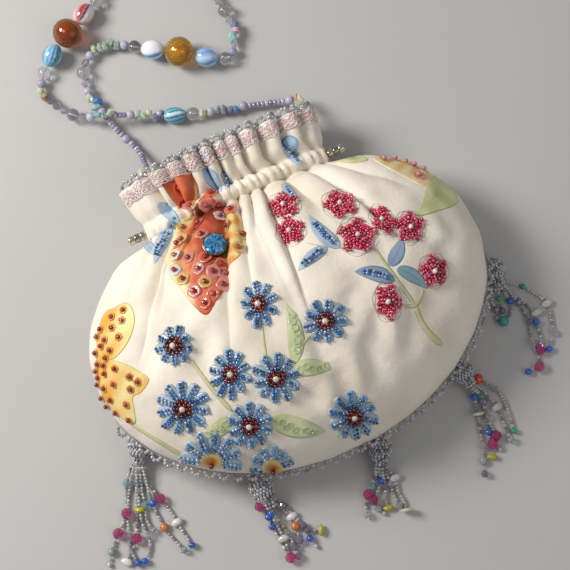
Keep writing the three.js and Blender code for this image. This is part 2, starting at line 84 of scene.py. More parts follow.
class BagClothSettings(PropertyGroup):
    """Sizes and colours of the silk panels."""
    wall: size_setting("Cloth thickness", 1.2, "Silk and lining together")
    pleat_steps: IntProperty(name="Steps per pleat", default=14, min=6, max=30,
                             description="Grid columns from one gathered crease to the next")
    body_rows: IntProperty(name="Body rows", default=166, min=40, max=200,
                           description="Grid rows from the neck to the bottom seam")
    cream: colour_setting("Cream", "f4ebdc", "Colour of the silk")
    # painted shade: the cream as it looks in shade, which the silk material mixes in at random in soft clouds
    shade: colour_setting("Cream in shade", "d8c9ad", "Colour of the silk where it is worn and folded")


class BagSewnSettings(PropertyGroup):
    """Sizes and colours of the beads and sequins sewn on the front."""
    seed: size_setting("Seed bead radius", 0.62, "Radius of the beads on the daisies and leaves")
    berry_seed: size_setting("Raspberry bead radius", 0.68, "Radius of the beads of the red flowers")
    sequin: size_setting("Sequin radius", 3.1, "Radius of the large sequins")
    daisy: colour_setting("Daisy beads", "4a8ace", "Middle colour of the blue beads")
    film: colour_setting("Daisy petals", "c0d6e2", "Colour of the film under the blue beads")
    berry: colour_setting("Raspberry beads", "e63660", "Middle colour of the red flowers")
    garnet: colour_setting("Garnet beads", "96201c",
                           "Colour of the daisy centres and the beads in the sequins")


class BagTrimSettings(PropertyGroup):
    """Sizes and colours of the lace, the bead edging, the metal beads and the cut stone."""
    lace: colour_setting("Lace", "f3d2c9", "Middle colour of the lace threads")
    thread: size_setting("Lace thread radius", 0.2, "Radius of the curled threads")
    picot: size_setting("Edging bead radius", 0.92, "Radius of the clear beads along the edges")
    clear: colour_setting("Clear beads", "e6e4ea",
                          "Middle colour of the clear beads of the edging and the tassels")
    metal: colour_setting("Metal", "d8cfbb", "Colour of the metal beads and the cup")
    stone: colour_setting("Cut stone", "1478b8", "Middle colour of the stone's facets")


class BagStrapSettings(PropertyGroup):
    """Sizes and colours of the strap."""
    seed: size_setting("Strap seed radius", 1.5, "Radius of the small lavender beads")
    lavender: colour_setting("Lavender seeds", "cdc2e8", "Middle colour of the small beads")
    frosted: colour_setting("Frosted beads", "d8d6f0", "Middle colour of the frosted rounds")
    honey: colour_setting("Honey glass", "f6b83c", "Colour of the yellow amber rounds")
    brown: colour_setting("Brown glass", "be6a22", "Colour of the brown amber rounds")


class BagStageSettings(PropertyGroup):
    """Floor, lights and camera."""
    floor: colour_setting("Floor", "c2c1bf", "Colour of the floor")
    key_power: FloatProperty(name="Key light", default=6.4, min=0.0,
                             description="Power of the large soft light, in watts")
    fill: FloatProperty(name="Fill light", default=0.26, min=0.0,
                        description="Strength of the even light from all round")


# Photograph's camera: millimetres in the bag's frame

IMAGE_SIZE = 570
IMAGE_MIDDLE = IMAGE_SIZE / 2
PIXEL = 0.433
DISTANCE = 560.0
SENSOR = 36.0
TURN = math.radians(-24.5)
RISE = math.radians(80.0)
TARGET = np.array([2.23, 8.20, 20.0])
BACKWARD = np.array([math.sin(TURN) * math.cos(RISE), -math.cos(TURN) * math.cos(RISE), math.sin(RISE)])
RIGHT = np.array([math.cos(TURN), math.sin(TURN), 0.0])
UPWARD = np.cross(BACKWARD, RIGHT)
EYE = TARGET + DISTANCE * BACKWARD
FOCAL_PIXELS = DISTANCE / PIXEL


def seen_at(points):
    """Photo pixels of points: the offsets right and down from the eye over the distance in front of it."""
    offset = points - EYE
    depth = -offset @ BACKWARD
    across = IMAGE_MIDDLE + FOCAL_PIXELS * (offset @ RIGHT) / depth
    down = IMAGE_MIDDLE - FOCAL_PIXELS * (offset @ UPWARD) / depth
    return np.stack([across, down], axis=-1)


def on_level(pixels, height):
    """Points at a height above the floor that are seen at the pixels."""
    pixels = np.atleast_2d(np.asarray(pixels, dtype=float))
    ray = (-FOCAL_PIXELS * BACKWARD + (pixels[:, :1] - IMAGE_MIDDLE) * RIGHT
           + (IMAGE_MIDDLE - pixels[:, 1:2]) * UPWARD)
    reach = (np.broadcast_to(height, len(ray)) - EYE[2]) / ray[:, 2]
    return EYE + ray * reach[:, None]


# Mesh making

def sheet_faces(rows, columns, start=0, wrap=False):
    """Four-cornered faces of a grid of rows by columns; wrap joins the last column to the first."""
    row, column = np.meshgrid(np.arange(rows - 1), np.arange(columns if wrap else columns - 1), indexing="ij")
    after = (column + 1) % columns
    corners = np.stack([row * columns + column, row * columns + after,
                        (row + 1) * columns + after, (row + 1) * columns + column], axis=-1)
    return corners.reshape(-1, 4) + start


def add_object(name, data):
    """A new object in the scene."""
    made = bpy.data.objects.new(name, data)
    bpy.context.collection.objects.link(made)
    return made


def new_piece(name, points, faces, material, tint=None, uv=None, smooth=True):
    """One object at the origin from points in millimetres and blocks of three- or four-cornered faces."""
    mesh = bpy.data.meshes.new(name)
    blocks = [np.asarray(block, dtype=np.int32) for block in faces if len(block)]
    corners = np.concatenate([block.ravel() for block in blocks])
    sizes = np.concatenate([np.full(len(block), block.shape[1], dtype=np.int32) for block in blocks])
    mesh.vertices.add(len(points))
    mesh.vertices.foreach_set("co", (np.asarray(points) * MM).astype(np.float32).ravel())
    mesh.loops.add(len(corners))
    mesh.loops.foreach_set("vertex_index", corners)
    mesh.polygons.add(len(sizes))
    mesh.polygons.foreach_set("loop_start", np.concatenate([[0], np.cumsum(sizes)[:-1]]).astype(np.int32))
    mesh.polygons.foreach_set("use_smooth", np.full(len(sizes), smooth))
    mesh.update(calc_edges=True)
    if tint is not None:
        layer = mesh.attributes.new("tint", "FLOAT_COLOR", "POINT")
        colours = np.column_stack([tint, np.ones(len(points))])
        layer.data.foreach_set("color", colours.astype(np.float32).ravel())
    if uv is not None:
        layer = mesh.uv_layers.new(name="cloth_uv")
        layer.data.foreach_set("uv", uv[corners].astype(np.float32).ravel())
    mesh.materials.append(material)
    piece = add_object(name, mesh)
    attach(piece, "root")
    return piece


# Shape of the pouch, in millimetres, as in the CAD source

NECK_HEIGHT = 50.3
NECK_HALF = 43.5
CASING_TOP = 57.8
SEAM_END = 67.5
HALF_WIDTH = 90.0
CHIN = 68.0
SEAM_LOW = 13.0
SEAM_HIGH = 18.5
SEAM_GAP = 0.3
BACK_FLAT = 0.6
SHARPNESS = 1.5
RIDGE = 0.35
MOUTH_EDGE = 75.0
# the header's own creases take over from this far under the casing's top, within this run
HEADER_START = 2.0
HEADER_RUN = 7.0
# the smooth body begins this far under the neck and is full after this run
BODY_START = 8.0
BODY_RUN = 14.0
VALLEY_GAIN = 2.0
RIPPLE = 0.26
# radians per millimetre along x and y, and phase, of the fine ripples
RIPPLE_WAVES = ((0.31, 0.12, 0.8), (0.17, -0.37, 0.0), (0.44, 0.05, 2.0))
# casing: steepness of its two sides, share of the creases lost in it, height and sharpness of its gathers
CASING_EDGE = 8.0
CASING_CALM = 0.6
GATHER_HEIGHT = 0.75
GATHER_SHARPNESS = 1.4
# grid rows of the casing and the header, and grid of the back panel
CASING_ROWS = 14
HEADER_ROWS = 24
BACK_PLEAT_STEPS = 20
BACK_ROWS = 120
# cloth left free of sewn pieces along the seam and the mouth, and share of the width that is used
SEAM_MARGIN = 0.6
MOUTH_MARGIN = 0.4
EDGE_SHARE = 0.985
# finding the cloth under a pixel: first height, steps, share of the miss that each step takes back
FIRST_HEIGHT = 40.0
FIND_STEPS = 14
FIND_SHARE = 0.7
STITCH_DEPTH = 1.1
STITCH_WIDTH = 0.9
# height along the bag, half width, front crown, back crown, crease strength
SECTIONS = np.array([
    (-67.5, 10.9, 54, 0, 0), (-65, 26.4, 54, 0, 0), (-60.5, 41.1, 54, 0, 0), (-53, 56.4, 54, 0, 0.1),
    (-43, 69.7, 54, 0, 0.2), (-31, 80.1, 54, 0, 0.35), (-18, 86.8, 54, 0, 0.5), (-4, 89.8, 54, 0, 0.65),
    (10, 88.7, 52.5, 0, 0.75), (22, 84.2, 49, 0, 0.85), (32, 77, 44, 0.8, 0.95), (40, 68.5, 38.5, 3, 1),
    (46, 60, 33, 6, 1), (50.3, 43.5, 28, 10, 0.75), (54, 43.5, 29.5, 8.5, 0.55),
    (57.8, 43.5, 27.5, 10, 0.7), (62, 45, 30.5, 7.5, 0.95), (69, 46.5, 33, 5, 1), (75, 47.5, 34, 4, 0.85),
])
# place on the neck, sideways run per millimetre down, depth, height where the crease ends,
# place on the header, share of the depth on the header
FRONT_CREASES = np.array([
    (-39, -1, 2.2, 22, -38.5, 0.3), (-30.5, -0.76, 3.6, 0, -30.5, 1.2), (-18, -1, 2.2, 30, -15.5, 1.9),
    (-7.5, -0.385, 3.4, -25, -8, 1.2), (-1, -0.27, 3, 5, -2, 1.4), (5, -0.28, 2.4, 30, 3.5, 0.4),
    (11, -0.11, 3.4, -20, 8.5, 1.3), (22, 0.25, 2.6, 25, 17.5, 1.7), (33, 0.48, 3.6, 3, 27, 1.2),
    (41, 0.95, 2.4, 20, 36, 1.7),
])
# short pleats halfway between two creases: number of the crease before it, depth, height where it ends
SHORT_PLEATS = ((2, 4.2, 42.0),)
CREASE_GAIN = 1.25
BACK_CREASE_PLACES = NECK_HALF * (2 * np.arange(1, 7) / 7 - 1)
BACK_CREASES = np.stack([BACK_CREASE_PLACES, 0.016 * BACK_CREASE_PLACES,
                         np.full(6, 2.0), np.full(6, 26.0)], axis=1)
# soft valleys in the body: upper end x, y, lower end x, y, width, depth
SOFT_FOLDS = np.array([
    (30, -20, 22, -44, 5.5, 1.1), (44, -15, 37, -46, 4.2, 1.5), (57, -14, 49, -36, 6, 1.1),
    (19.8, -28, 19, -50, 4, 1.2), (5.8, -33, 7.2, -50, 4.5, 1.2), (0.6, -20, 3.2, -37, 4.5, 1.2),
    (-15, -39, -4, -48, 4, 0.9), (-61, 16, -69, -14, 6, 1.3), (-36.5, 4, -49, -22, 5.5, 1.2),
    (69, -4, 63, -28, 4.5, 1.4), (22, -8, 19.5, -26, 4.5, 1), (74, 12, 78, -8, 4, 1),
    (58, 8, 66, -6, 5, 0.9), (36.5, 42, 47.6, 19, 1.7, 1.1), (45.5, 25, 51.8, 0, 1.8, 1.3),
])


def steady_slopes(knots, values):
    """Slopes at the knots of a curve that never overshoots: the harmonic mean of the slopes on both sides."""
    rise = np.diff(values, axis=0) / np.diff(knots)[:, None]
    before, after = rise[:-1], rise[1:]
    same = before * after > 0
    mean = np.where(same, 2 * before * after / np.where(same, before + after, 1.0), 0.0)
    return np.vstack([rise[:1], mean, rise[-1:]])


SECTION_SLOPES = steady_slopes(SECTIONS[:, 0], SECTIONS[:, 1:])


def section(y):
    """Half width, front crown, back crown and crease strength at a height, on a cubic through the table."""
    knots, values = SECTIONS[:, 0], SECTIONS[:, 1:]
    y = np.clip(y, knots[0], knots[-1])
    k = np.clip(np.searchsorted(knots, y) - 1, 0, len(knots) - 2)
    step = (knots[k + 1] - knots[k])[..., None]
    t = (y - knots[k])[..., None] / step
    rise = 3 * t ** 2 - 2 * t ** 3
    out = ((1 - rise) * values[k] + (t ** 3 - 2 * t ** 2 + t) * step * SECTION_SLOPES[k]
           + rise * values[k + 1] + (t ** 3 - t ** 2) * step * SECTION_SLOPES[k + 1])
    return np.moveaxis(out, -1, 0)


def unit(vectors):
    """The same directions with length 1."""
    return vectors / np.maximum(np.linalg.norm(vectors, axis=-1, keepdims=True), 1e-9)


def smooth_step(t):
    """A ramp from 0 to 1 with level ends."""
    t = np.clip(t, 0.0, 1.0)
    return t * t * (3 - 2 * t)


def crease_lines(y, side):
    """Crease places and depths at each height, with the two edges of the panel at the ends at depth 0."""
    table = FRONT_CREASES if side > 0 else BACK_CREASES
    place, run, depth, reach = table.T[:4]
    half, _, _, strength = section(y)
    end = np.maximum(y[:, None], reach)
    below = (place + run * (NECK_HEIGHT - end)) * half[:, None] / section(end)[0]
    above = place * half[:, None] / NECK_HALF
    lines = np.where(y[:, None] >= NECK_HEIGHT, above, below)
    fade = np.sqrt(smooth_step((y[:, None] - reach) / (NECK_HEIGHT - reach)))
    depths = depth * strength[:, None] * np.where(y[:, None] >= NECK_HEIGHT, 1.0, fade)
    if side > 0:
        header_place, header_depth = table.T[4:]
        header = smooth_step((y[:, None] - CASING_TOP + HEADER_START) / HEADER_RUN)
        lines = lines + (header_place - place) * header * half[:, None] / NECK_HALF
        depths = depths * CREASE_GAIN * (1 + (header_depth - 1) * header)
        for before, short_depth, short_reach in SHORT_PLEATS:
            middle = (lines[:, before - 1] + lines[:, before]) / 2
            short = short_depth * strength * smooth_step((y - short_reach) / (NECK_HEIGHT - short_reach))
            lines = np.insert(lines, before, middle, axis=1)
            depths = np.insert(depths, before, short, axis=1)
    edge = half[:, None]
    none = np.zeros_like(edge)
    return np.hstack([-edge, lines, edge]), np.hstack([none, depths, none])


def valley(x, y):
    """Depth of the soft valleys: a bell across each line that also fades at the line's two ends."""
    total = np.zeros_like(x)
    for x0, y0, x1, y1, width, depth in SOFT_FOLDS:
        run = np.array([x1 - x0, y1 - y0])
        span = np.hypot(*run)
        along = ((x - x0) * run[0] + (y - y0) * run[1]) / span ** 2
        aside = ((x - x0) * run[1] - (y - y0) * run[0]) / span
        fade = np.sin(np.pi * np.clip(along, 0.0, 1.0))
        bell = np.exp(-(aside / width) ** 2) - 0.45 * np.exp(-((aside - 1.7 * width) / width) ** 2)
        total += depth * fade * bell
    return total


def seam_height(y):
    """Height of the seam above the floor: a straight rise from the chin to the neck."""
    rise = np.clip((y + CHIN) / (CHIN + NECK_HEIGHT), 0.0, 1.0)
    return SEAM_LOW + (SEAM_HIGH - SEAM_LOW) * rise


def pleats(x, y, side):
    """Depth of cloth between two creases: crease depth times (1 - sin(pi t)) to a power, less a ridge."""
    lines, depths = crease_lines(y, side)
    k = np.clip((x[:, None] >= lines).sum(axis=1) - 1, 0, lines.shape[1] - 2)[:, None]
    left, right = (np.take_along_axis(lines, k + end, 1)[:, 0] for end in (0, 1))
    before, after = (np.take_along_axis(depths, k + end, 1)[:, 0] for end in (0, 1))
    t = np.clip((x - left) / np.maximum(right - left, 1e-6), 0.0, 1.0)
    arch = np.sin(np.pi * t)
    return (before * (1 - t) + after * t) * ((1 - arch) ** SHARPNESS - RIDGE * arch)


def casing(x, y, sink):
    """Crease depth made calmer in the casing, and the casing's own depth: two seams less uneven gathers."""
    band = np.clip((y - NECK_HEIGHT) / (CASING_TOP - NECK_HEIGHT), 0.0, 1.0)
    flat_top = smooth_step(CASING_EDGE * band) * smooth_step(CASING_EDGE * (1 - band))
    folds = np.abs(np.sin(0.72 * x + 0.9 * np.sin(0.31 * x) + 0.25 * np.sin(0.8 * y)))
    uneven = 1.25 + 0.5 * np.sin(0.53 * x + 1.0)
    fine = 0.22 * np.sin(1.9 * x + 0.4 * y)
    gather = flat_top * (GATHER_HEIGHT - uneven * (1 - folds) ** GATHER_SHARPNESS + fine)
    stitch = sum(np.exp(-((y - seam) / STITCH_WIDTH) ** 2) for seam in (NECK_HEIGHT, CASING_TOP))
    return sink * (1 - CASING_CALM * flat_top), STITCH_DEPTH * stitch - gather


def cloth(x, y, side):
    """Points of a panel's outer face at plan places x, y, and the direction into the pouch.

    The height is a dome: the root of (1 - across squared) times (1 - down squared), between the seam and
    the crown. Pleats, soft valleys, fine ripples and the casing then move the cloth inward or outward.
    """
    half, front, back, _ = section(y)
    flat = 0.0 if side > 0 else BACK_FLAT
    crown = front if side > 0 else back
    along = np.clip((np.abs(x) / half - flat) / (1 - flat), 0.0, 1.0)
    down = np.clip((np.clip(-y / SEAM_END, 0.0, 1.0) - flat) / (1 - flat), 0.0, 1.0)
    height = np.sqrt((1 - along ** 2) * (1 - down ** 2))
    seam = seam_height(y)
    z = seam + side * SEAM_GAP / 2 + (crown - seam) * height
    outward = unit(np.stack([np.sign(x) * along / HALF_WIDTH, -down / CHIN], axis=-1))
    lean = np.sqrt(1 - height ** 2)
    inward = unit(np.concatenate([-outward * lean[..., None], -side * height[..., None]], axis=-1))
    sink = pleats(x, y, side)
    inside = np.sqrt(np.clip(height, 0.0, 1.0))
    if side > 0:
        body = smooth_step((NECK_HEIGHT - BODY_START - y) / BODY_RUN)
        ripple = sum(np.sin(a * x + b * y + c) for a, b, c in RIPPLE_WAVES)
        sink = sink + (VALLEY_GAIN * valley(x, y) + RIPPLE * ripple) * body * inside
    sink, extra = casing(x, y, sink)
    return np.stack([x, y, z], axis=-1) + inward * (sink + extra * inside)[:, None], inward


def off_cloth(x, y, lift=0.0, side=1):
    """Points off a panel by a lift along its outward normal, with that normal."""
    step = 0.35
    across = cloth(x + step, y, side)[0] - cloth(x - step, y, side)[0]
    upward = cloth(x, y + step, side)[0] - cloth(x, y - step, side)[0]
    normal = side * unit(np.cross(across, upward))
    return cloth(x, y, side)[0] + normal * np.reshape(lift, (-1, 1)), normal


def keep_on(x, y):
    """Plan places moved inside the outline of the front."""
    y = np.clip(y, -SEAM_END + SEAM_MARGIN, MOUTH_EDGE - MOUTH_MARGIN)
    half = section(y)[0] * EDGE_SHARE
    return np.clip(x, -half, half), y


def on_front(pixels):
    """Plan places of the cloth under photo pixels: guess, see where it shows, move by the miss, repeat."""
    x, y, _ = on_level(pixels, FIRST_HEIGHT).T
    x, y = keep_on(x, y)
    for _ in range(FIND_STEPS):
        across, down = ((pixels - seen_at(cloth(x, y, 1)[0])) * PIXEL).T
        x, y = keep_on(x + FIND_SHARE * (across * RIGHT[0] - down * UPWARD[0]),
                       y + FIND_SHARE * (across * RIGHT[1] - down * UPWARD[1]))
    return np.stack([x, y], axis=-1)


# Material making

NODE_STEP = 220
SILK_THREADS = 620.0
THREAD_HEIGHT = 0.0001


def add_node(tree, kind, **values):
    """A node to the right of the last one, with its plain settings and the values of its input sockets."""
    node = tree.nodes.new("ShaderNode" + kind)
    node.location = (NODE_STEP * (len(tree.nodes) - 10), 0)
    for key, value in values.items():
        if hasattr(node, key):
            setattr(node, key, value)
        else:
            node.inputs[key.replace("_", " ")].default_value = value
    return node


def wire(tree, *routes):
    """Links between nodes, each given as node, output, node, input."""
    for source, leave, target, enter in routes:
        tree.links.new(source.outputs[leave], target.inputs[enter])


def new_group(name, inputs, outputs):
    """A shader node group with named sockets; an input's default has 1, 3 or 4 numbers by its kind."""
    group = bpy.data.node_groups.new(name, "ShaderNodeTree")
    for socket, default in inputs.items():
        kind = {1: "Float", 3: "Vector", 4: "Color"}[np.size(default)]
        made = group.interface.new_socket(name=socket, in_out="INPUT", socket_type="NodeSocket" + kind)
        made.default_value = default
    for socket, kind in outputs.items():
        group.interface.new_socket(name=socket, in_out="OUTPUT", socket_type="NodeSocket" + kind)
    enter = group.nodes.new("NodeGroupInput")
    leave = group.nodes.new("NodeGroupOutput")
    enter.location = (-9 * NODE_STEP, 0)
    return group, enter, leave


def mottle_group():
    """Soft cloudy change between two colours, from a noise on the given coordinates."""
    if "mottle" in bpy.data.node_groups:
        return bpy.data.node_groups["mottle"]
    group, enter, leave = new_group(
        "mottle", {"Vector": (0, 0, 0), "Light": (1, 1, 1, 1), "Dark": (0, 0, 0, 1), "Scale": 60.0,
                   "Low": 0.4, "High": 0.7}, {"Color": "Color", "Mask": "Float"})
    noise = add_node(group, "TexNoise", Detail=4.0, Roughness=0.55)
    ramp = add_node(group, "MapRange")
    mix = add_node(group, "Mix", data_type="RGBA")
    wire(group, (enter, "Vector", noise, "Vector"), (enter, "Scale", noise, "Scale"),
         (noise, "Fac", ramp, "Value"), (enter, "Low", ramp, "From Min"), (enter, "High", ramp, "From Max"),
         (ramp, "Result", mix, "Factor"), (enter, "Light", mix, "A"), (enter, "Dark", mix, "B"),
         (mix, "Result", leave, "Color"), (ramp, "Result", leave, "Mask"))
    return group


def weave_group():
    """Height of a plain weave: two crossed bands of threads, with slubs from a stretched noise."""
    if "weave" in bpy.data.node_groups:
        return bpy.data.node_groups["weave"]
    group, enter, leave = new_group("weave", {"Vector": (0, 0, 0), "Threads": 900.0}, {"Height": "Float"})
    warp, weft = (add_node(group, "TexWave", bands_direction=way, Distortion=0.4) for way in "XY")
    highest = add_node(group, "Math", operation="MAXIMUM")
    stretch = add_node(group, "Mapping", Scale=(1.0, 0.08, 1.0))
    slub = add_node(group, "TexNoise", Scale=700.0, Detail=2.0)
    total = add_node(group, "Math", operation="ADD")
    wire(group, (enter, "Vector", warp, "Vector"), (enter, "Threads", warp, "Scale"),
         (enter, "Vector", weft, "Vector"), (enter, "Threads", weft, "Scale"),
         (warp, "Fac", highest, 0), (weft, "Fac", highest, 1),
         (enter, "Vector", stretch, "Vector"), (stretch, "Vector", slub, "Vector"),
         (highest, "Value", total, 0), (slub, "Fac", total, 1), (total, "Value", leave, "Height"))
    return group


def new_material(name, **values):
    """A material with its shader and output; values go on the shader's own sockets."""
    material = bpy.data.materials.new(name)
    material.use_nodes = True
    tree = material.node_tree
    shader = tree.nodes["Principled BSDF"]
    for key, value in values.items():
        shader.inputs[key.replace("_", " ")].default_value = value
    return material, tree, shader


def solid(rgb):
    """A colour with full alpha."""
    return (*rgb, 1.0)


def silk_material():
    """Cream silk: cream clouded at random with painted shade, a crumpled surface, and a weave along the
    cloth's own UV map.
    """
    settings = bpy.context.scene.bag_cloth
    material, tree, shader = new_material("cream_silk", Roughness=0.62, Sheen_Weight=0.2,
                                          Sheen_Roughness=0.35, Specular_IOR_Level=0.24)
    place = add_node(tree, "TexCoord")
    # the clouds mix the cream with the cream in shade, a painted shade
    cloud = add_node(tree, "Group", node_tree=mottle_group(), Scale=34.0, Low=0.42, High=0.95,
                     Light=solid(settings.cream), Dark=solid(settings.shade))
    rough = add_node(tree, "MapRange", To_Min=0.56, To_Max=0.72)
    crumple = add_node(tree, "TexNoise", Scale=150.0, Detail=3.0, Roughness=0.6)
    waves = add_node(tree, "Bump", Strength=0.6, Distance=0.0007)
    threads = add_node(tree, "Group", node_tree=weave_group(), Threads=SILK_THREADS)
    bump = add_node(tree, "Bump", Strength=0.3, Distance=THREAD_HEIGHT)
    wire(tree, (place, "Object", cloud, "Vector"), (cloud, "Color", shader, "Base Color"),
         (cloud, "Mask", rough, "Value"), (rough, "Result", shader, "Roughness"),
         (place, "Object", crumple, "Vector"), (crumple, "Fac", waves, "Height"),
         (waves, "Normal", bump, "Normal"), (place, "UV", threads, "Vector"),
         (threads, "Height", bump, "Height"), (bump, "Normal", shader, "Normal"))
    return material


# Each tinted finish: share of cloudiness, its scale, lowest and highest roughness, strength of the weave,
# and values on the shader's own sockets
FINISHES = {
    "painted_silk": (0.16, 160.0, (0.5, 0.7), 0.12, {}),
    "dyed_organza": (0.22, 420.0, (0.28, 0.45), 0.1, {"Coat_Weight": 0.3}),
    "fine_thread": (0.25, 600.0, (0.5, 0.75), 0.0, {}),
    "lined_seeds": (0.3, 900.0, (0.06, 0.2), 0.0, {"Coat_Weight": 0.7, "Coat_Roughness": 0.04}),
    "clear_seeds": (0.25, 900.0, (0.05, 0.16), 0.0,
                    {"Transmission_Weight": 0.38, "IOR": 1.5, "Coat_Weight": 0.5}),
    "pearl_sequin": (0.15, 500.0, (0.12, 0.26), 0.0, {"Coat_Weight": 0.6, "Alpha": 0.58}),
    "antique_metal": (0.45, 700.0, (0.18, 0.42), 0.0, {"Metallic": 1.0}),
    "cut_blue_glass": (0.2, 500.0, (0.03, 0.1), 0.0, {"Metallic": 0.35, "Coat_Weight": 1.0}),
    "cut_glass": (0.15, 400.0, (0.03, 0.1), 0.0,
                  {"Transmission_Weight": 0.8, "IOR": 1.52, "Coat_Weight": 0.6}),
    "gloss_glass": (0.2, 500.0, (0.05, 0.14), 0.0, {"Coat_Weight": 0.8}),
    "tumbled_stone": (0.38, 420.0, (0.18, 0.42), 0.0, {"Coat_Weight": 0.35}),
    "clear_glass": (0.06, 300.0, (0.01, 0.04), 0.0, {"Transmission_Weight": 0.92, "IOR": 1.5}),
    "frosted_glass": (0.2, 500.0, (0.28, 0.46), 0.0, {"Transmission_Weight": 0.35, "IOR": 1.5}),
    "lampwork_glass": (0.08, 300.0, (0.02, 0.07), 0.0, {"Coat_Weight": 1.0}),
    "amber_shell": (0.1, 250.0, (0.01, 0.05), 0.0, {"Transmission_Weight": 0.85, "IOR": 1.48}),
    "amber_flecks": (0.75, 520.0, (0.1, 0.35), 0.0, {"Metallic": 0.3}),
}


def finish(name):
    """A finish of the table, made once: the piece's tint, clouded, with uneven gloss and maybe a weave."""
    if name in bpy.data.materials:
        return bpy.data.materials[name]
    spread, scale, gloss, weave, values = FINISHES[name]
    material, tree, shader = new_material(name, **values)
    place = add_node(tree, "TexCoord")
    tint = add_node(tree, "Attribute", attribute_name="tint")
    cloud = add_node(tree, "Group", node_tree=mottle_group(), Scale=scale, Low=0.35, High=0.75,
                     Light=solid(np.ones(3)), Dark=solid(np.full(3, 1.0 - spread)))
    mix = add_node(tree, "Mix", data_type="RGBA", blend_type="MULTIPLY", Factor=1.0)
    rough = add_node(tree, "MapRange", To_Min=gloss[0], To_Max=gloss[1])
    wire(tree, (place, "Object", cloud, "Vector"), (tint, "Color", mix, "A"), (cloud, "Color", mix, "B"),
         (mix, "Result", shader, "Base Color"), (cloud, "Mask", rough, "Value"),
         (rough, "Result", shader, "Roughness"))
    if weave:
        threads = add_node(tree, "Group", node_tree=weave_group(), Threads=SILK_THREADS)
        bump = add_node(tree, "Bump", Strength=weave, Distance=THREAD_HEIGHT)
        wire(tree, (place, "Object", threads, "Vector"), (threads, "Height", bump, "Height"),
             (bump, "Normal", shader, "Normal"))
    return material


# Panels of the pouch

def panel_grid(side, pleat_steps, body_rows):
    """Plan places of a panel's grid: columns run from crease to crease, closer beside each crease."""
    count = crease_lines(np.zeros(1), side)[0].shape[1] - 1
    u = np.linspace(0.0, 1.0, pleat_steps, endpoint=False)
    share = 0.45 * u + 0.55 * (1 - np.cos(np.pi * u)) / 2
    column = np.concatenate([(np.arange(count)[:, None] + share).ravel(), [count]])
    half_body = body_rows // 2
    low = -SEAM_END * np.sin(np.linspace(0.5 * np.pi, 0.0, half_body, endpoint=False))
    high = np.linspace(0.0, NECK_HEIGHT, half_body, endpoint=False)
    neck = np.linspace(NECK_HEIGHT, CASING_TOP, CASING_ROWS, endpoint=False)
    header = np.linspace(CASING_TOP, MOUTH_EDGE, HEADER_ROWS)
    y = np.concatenate([low, high, neck, header])
    lines = crease_lines(y, side)[0]
    k = np.minimum(column.astype(int), count - 1)
    t = column - k
    x = lines[:, k] * (1 - t) + lines[:, k + 1] * t
    return x, np.broadcast_to(y[:, None], x.shape)


def make_panel(name, side, pleat_steps, body_rows, wall, material):
    """A closed shell: the outer face, the same grid moved inward by the wall, and rims that join the two."""
    x, y = panel_grid(side, pleat_steps, body_rows)
    rows, columns = x.shape
    outer, inward = cloth(x.ravel(), y.ravel(), side)
    inner = outer + inward * wall
    count = rows * columns
    index = np.arange(count).reshape(rows, columns)
    front = sheet_faces(rows, columns)
    back = sheet_faces(rows, columns, count)[:, ::-1]
    loop = np.concatenate([index[0, :-1], index[:-1, -1], index[-1, :0:-1], index[:0:-1, 0]])
    after = np.roll(loop, -1)
    rim = np.stack([after, loop, loop + count, after + count], axis=1)
    faces = np.vstack([front, back, rim])
    grid = outer.reshape(rows, columns, 3)
    run = np.linalg.norm(np.diff(grid, axis=1, prepend=grid[:, :1]), axis=2).cumsum(axis=1)
    fall = np.linalg.norm(np.diff(grid, axis=0, prepend=grid[:1]), axis=2).cumsum(axis=0)
    run = run - run[:, columns // 2:columns // 2 + 1]
    uv = np.tile(np.stack([run, fall], axis=-1).reshape(-1, 2) * MM, (2, 1))
    corners = grid[:-1, :-1], grid[:-1, 1:], grid[1:, 1:], grid[1:, :-1]
    area = np.linalg.norm(np.cross(corners[2] - corners[0], corners[3] - corners[1]), axis=2).sum() / 2
    piece = new_piece(name, np.vstack([outer, inner]), [faces if side > 0 else faces[:, ::-1]],
                      material, uv=uv)
    return piece, area * MM * MM


class BAG_OT_pouch(Operator):
    """Make the gathered front and back panels of the pouch"""
    bl_idname = "bag.pouch"
    bl_label = "Pouch"

    def execute(self, context):
        settings = context.scene.bag_cloth
        silk = silk_material()
        wall = settings.wall / MM
        front, front_area = make_panel("pouch_front", 1, settings.pleat_steps, settings.body_rows, wall, silk)
        back, back_area = make_panel("pouch_back", -1, BACK_PLEAT_STEPS, BACK_ROWS, wall, silk)
        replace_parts(front, "front_panel")
        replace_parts(back, "back_panel")
        return {"FINISHED"}


# Beads, patches and threads, gathered as batches of points, faces and tints

def fan_faces(tip, ring, upward):
    """Three-cornered faces from a point to a closed ring."""
    after = np.roll(ring, -1)
    tips = np.full(len(ring), tip)
    return np.stack([tips, ring, after] if upward else [tips, after, ring], axis=1)


def end_caps(rings, sides):
    """Fans that close both ends of a wrapped grid with the two points that come after it."""
    total = rings * sides
    ring = np.arange(sides)
    return np.vstack([fan_faces(total, ring, False), fan_faces(total + 1, ring + total - sides, True)])


def turns(count):
    """Even angles round a circle."""
    return np.arange(count) * 2 * np.pi / count


def compass(angle):
    """Cosine and sine of each angle, side by side."""
    return np.stack([np.cos(angle), np.sin(angle)], axis=-1)


def around(side, third, angle):
    """Directions at angles round an axis, from two directions square to it."""
    return np.cos(angle)[:, None] * side + np.sin(angle)[:, None] * third


def square_to(axis, up=None):
    """Two directions square to each axis: the first also square to up, the second square to the first."""
    if up is None:
        up = np.where(np.abs(axis[..., 2:]) < 0.9, (0.0, 0.0, 1.0), (1.0, 0.0, 0.0))
    side = unit(np.cross(up, axis))
    return side, np.cross(axis, side)


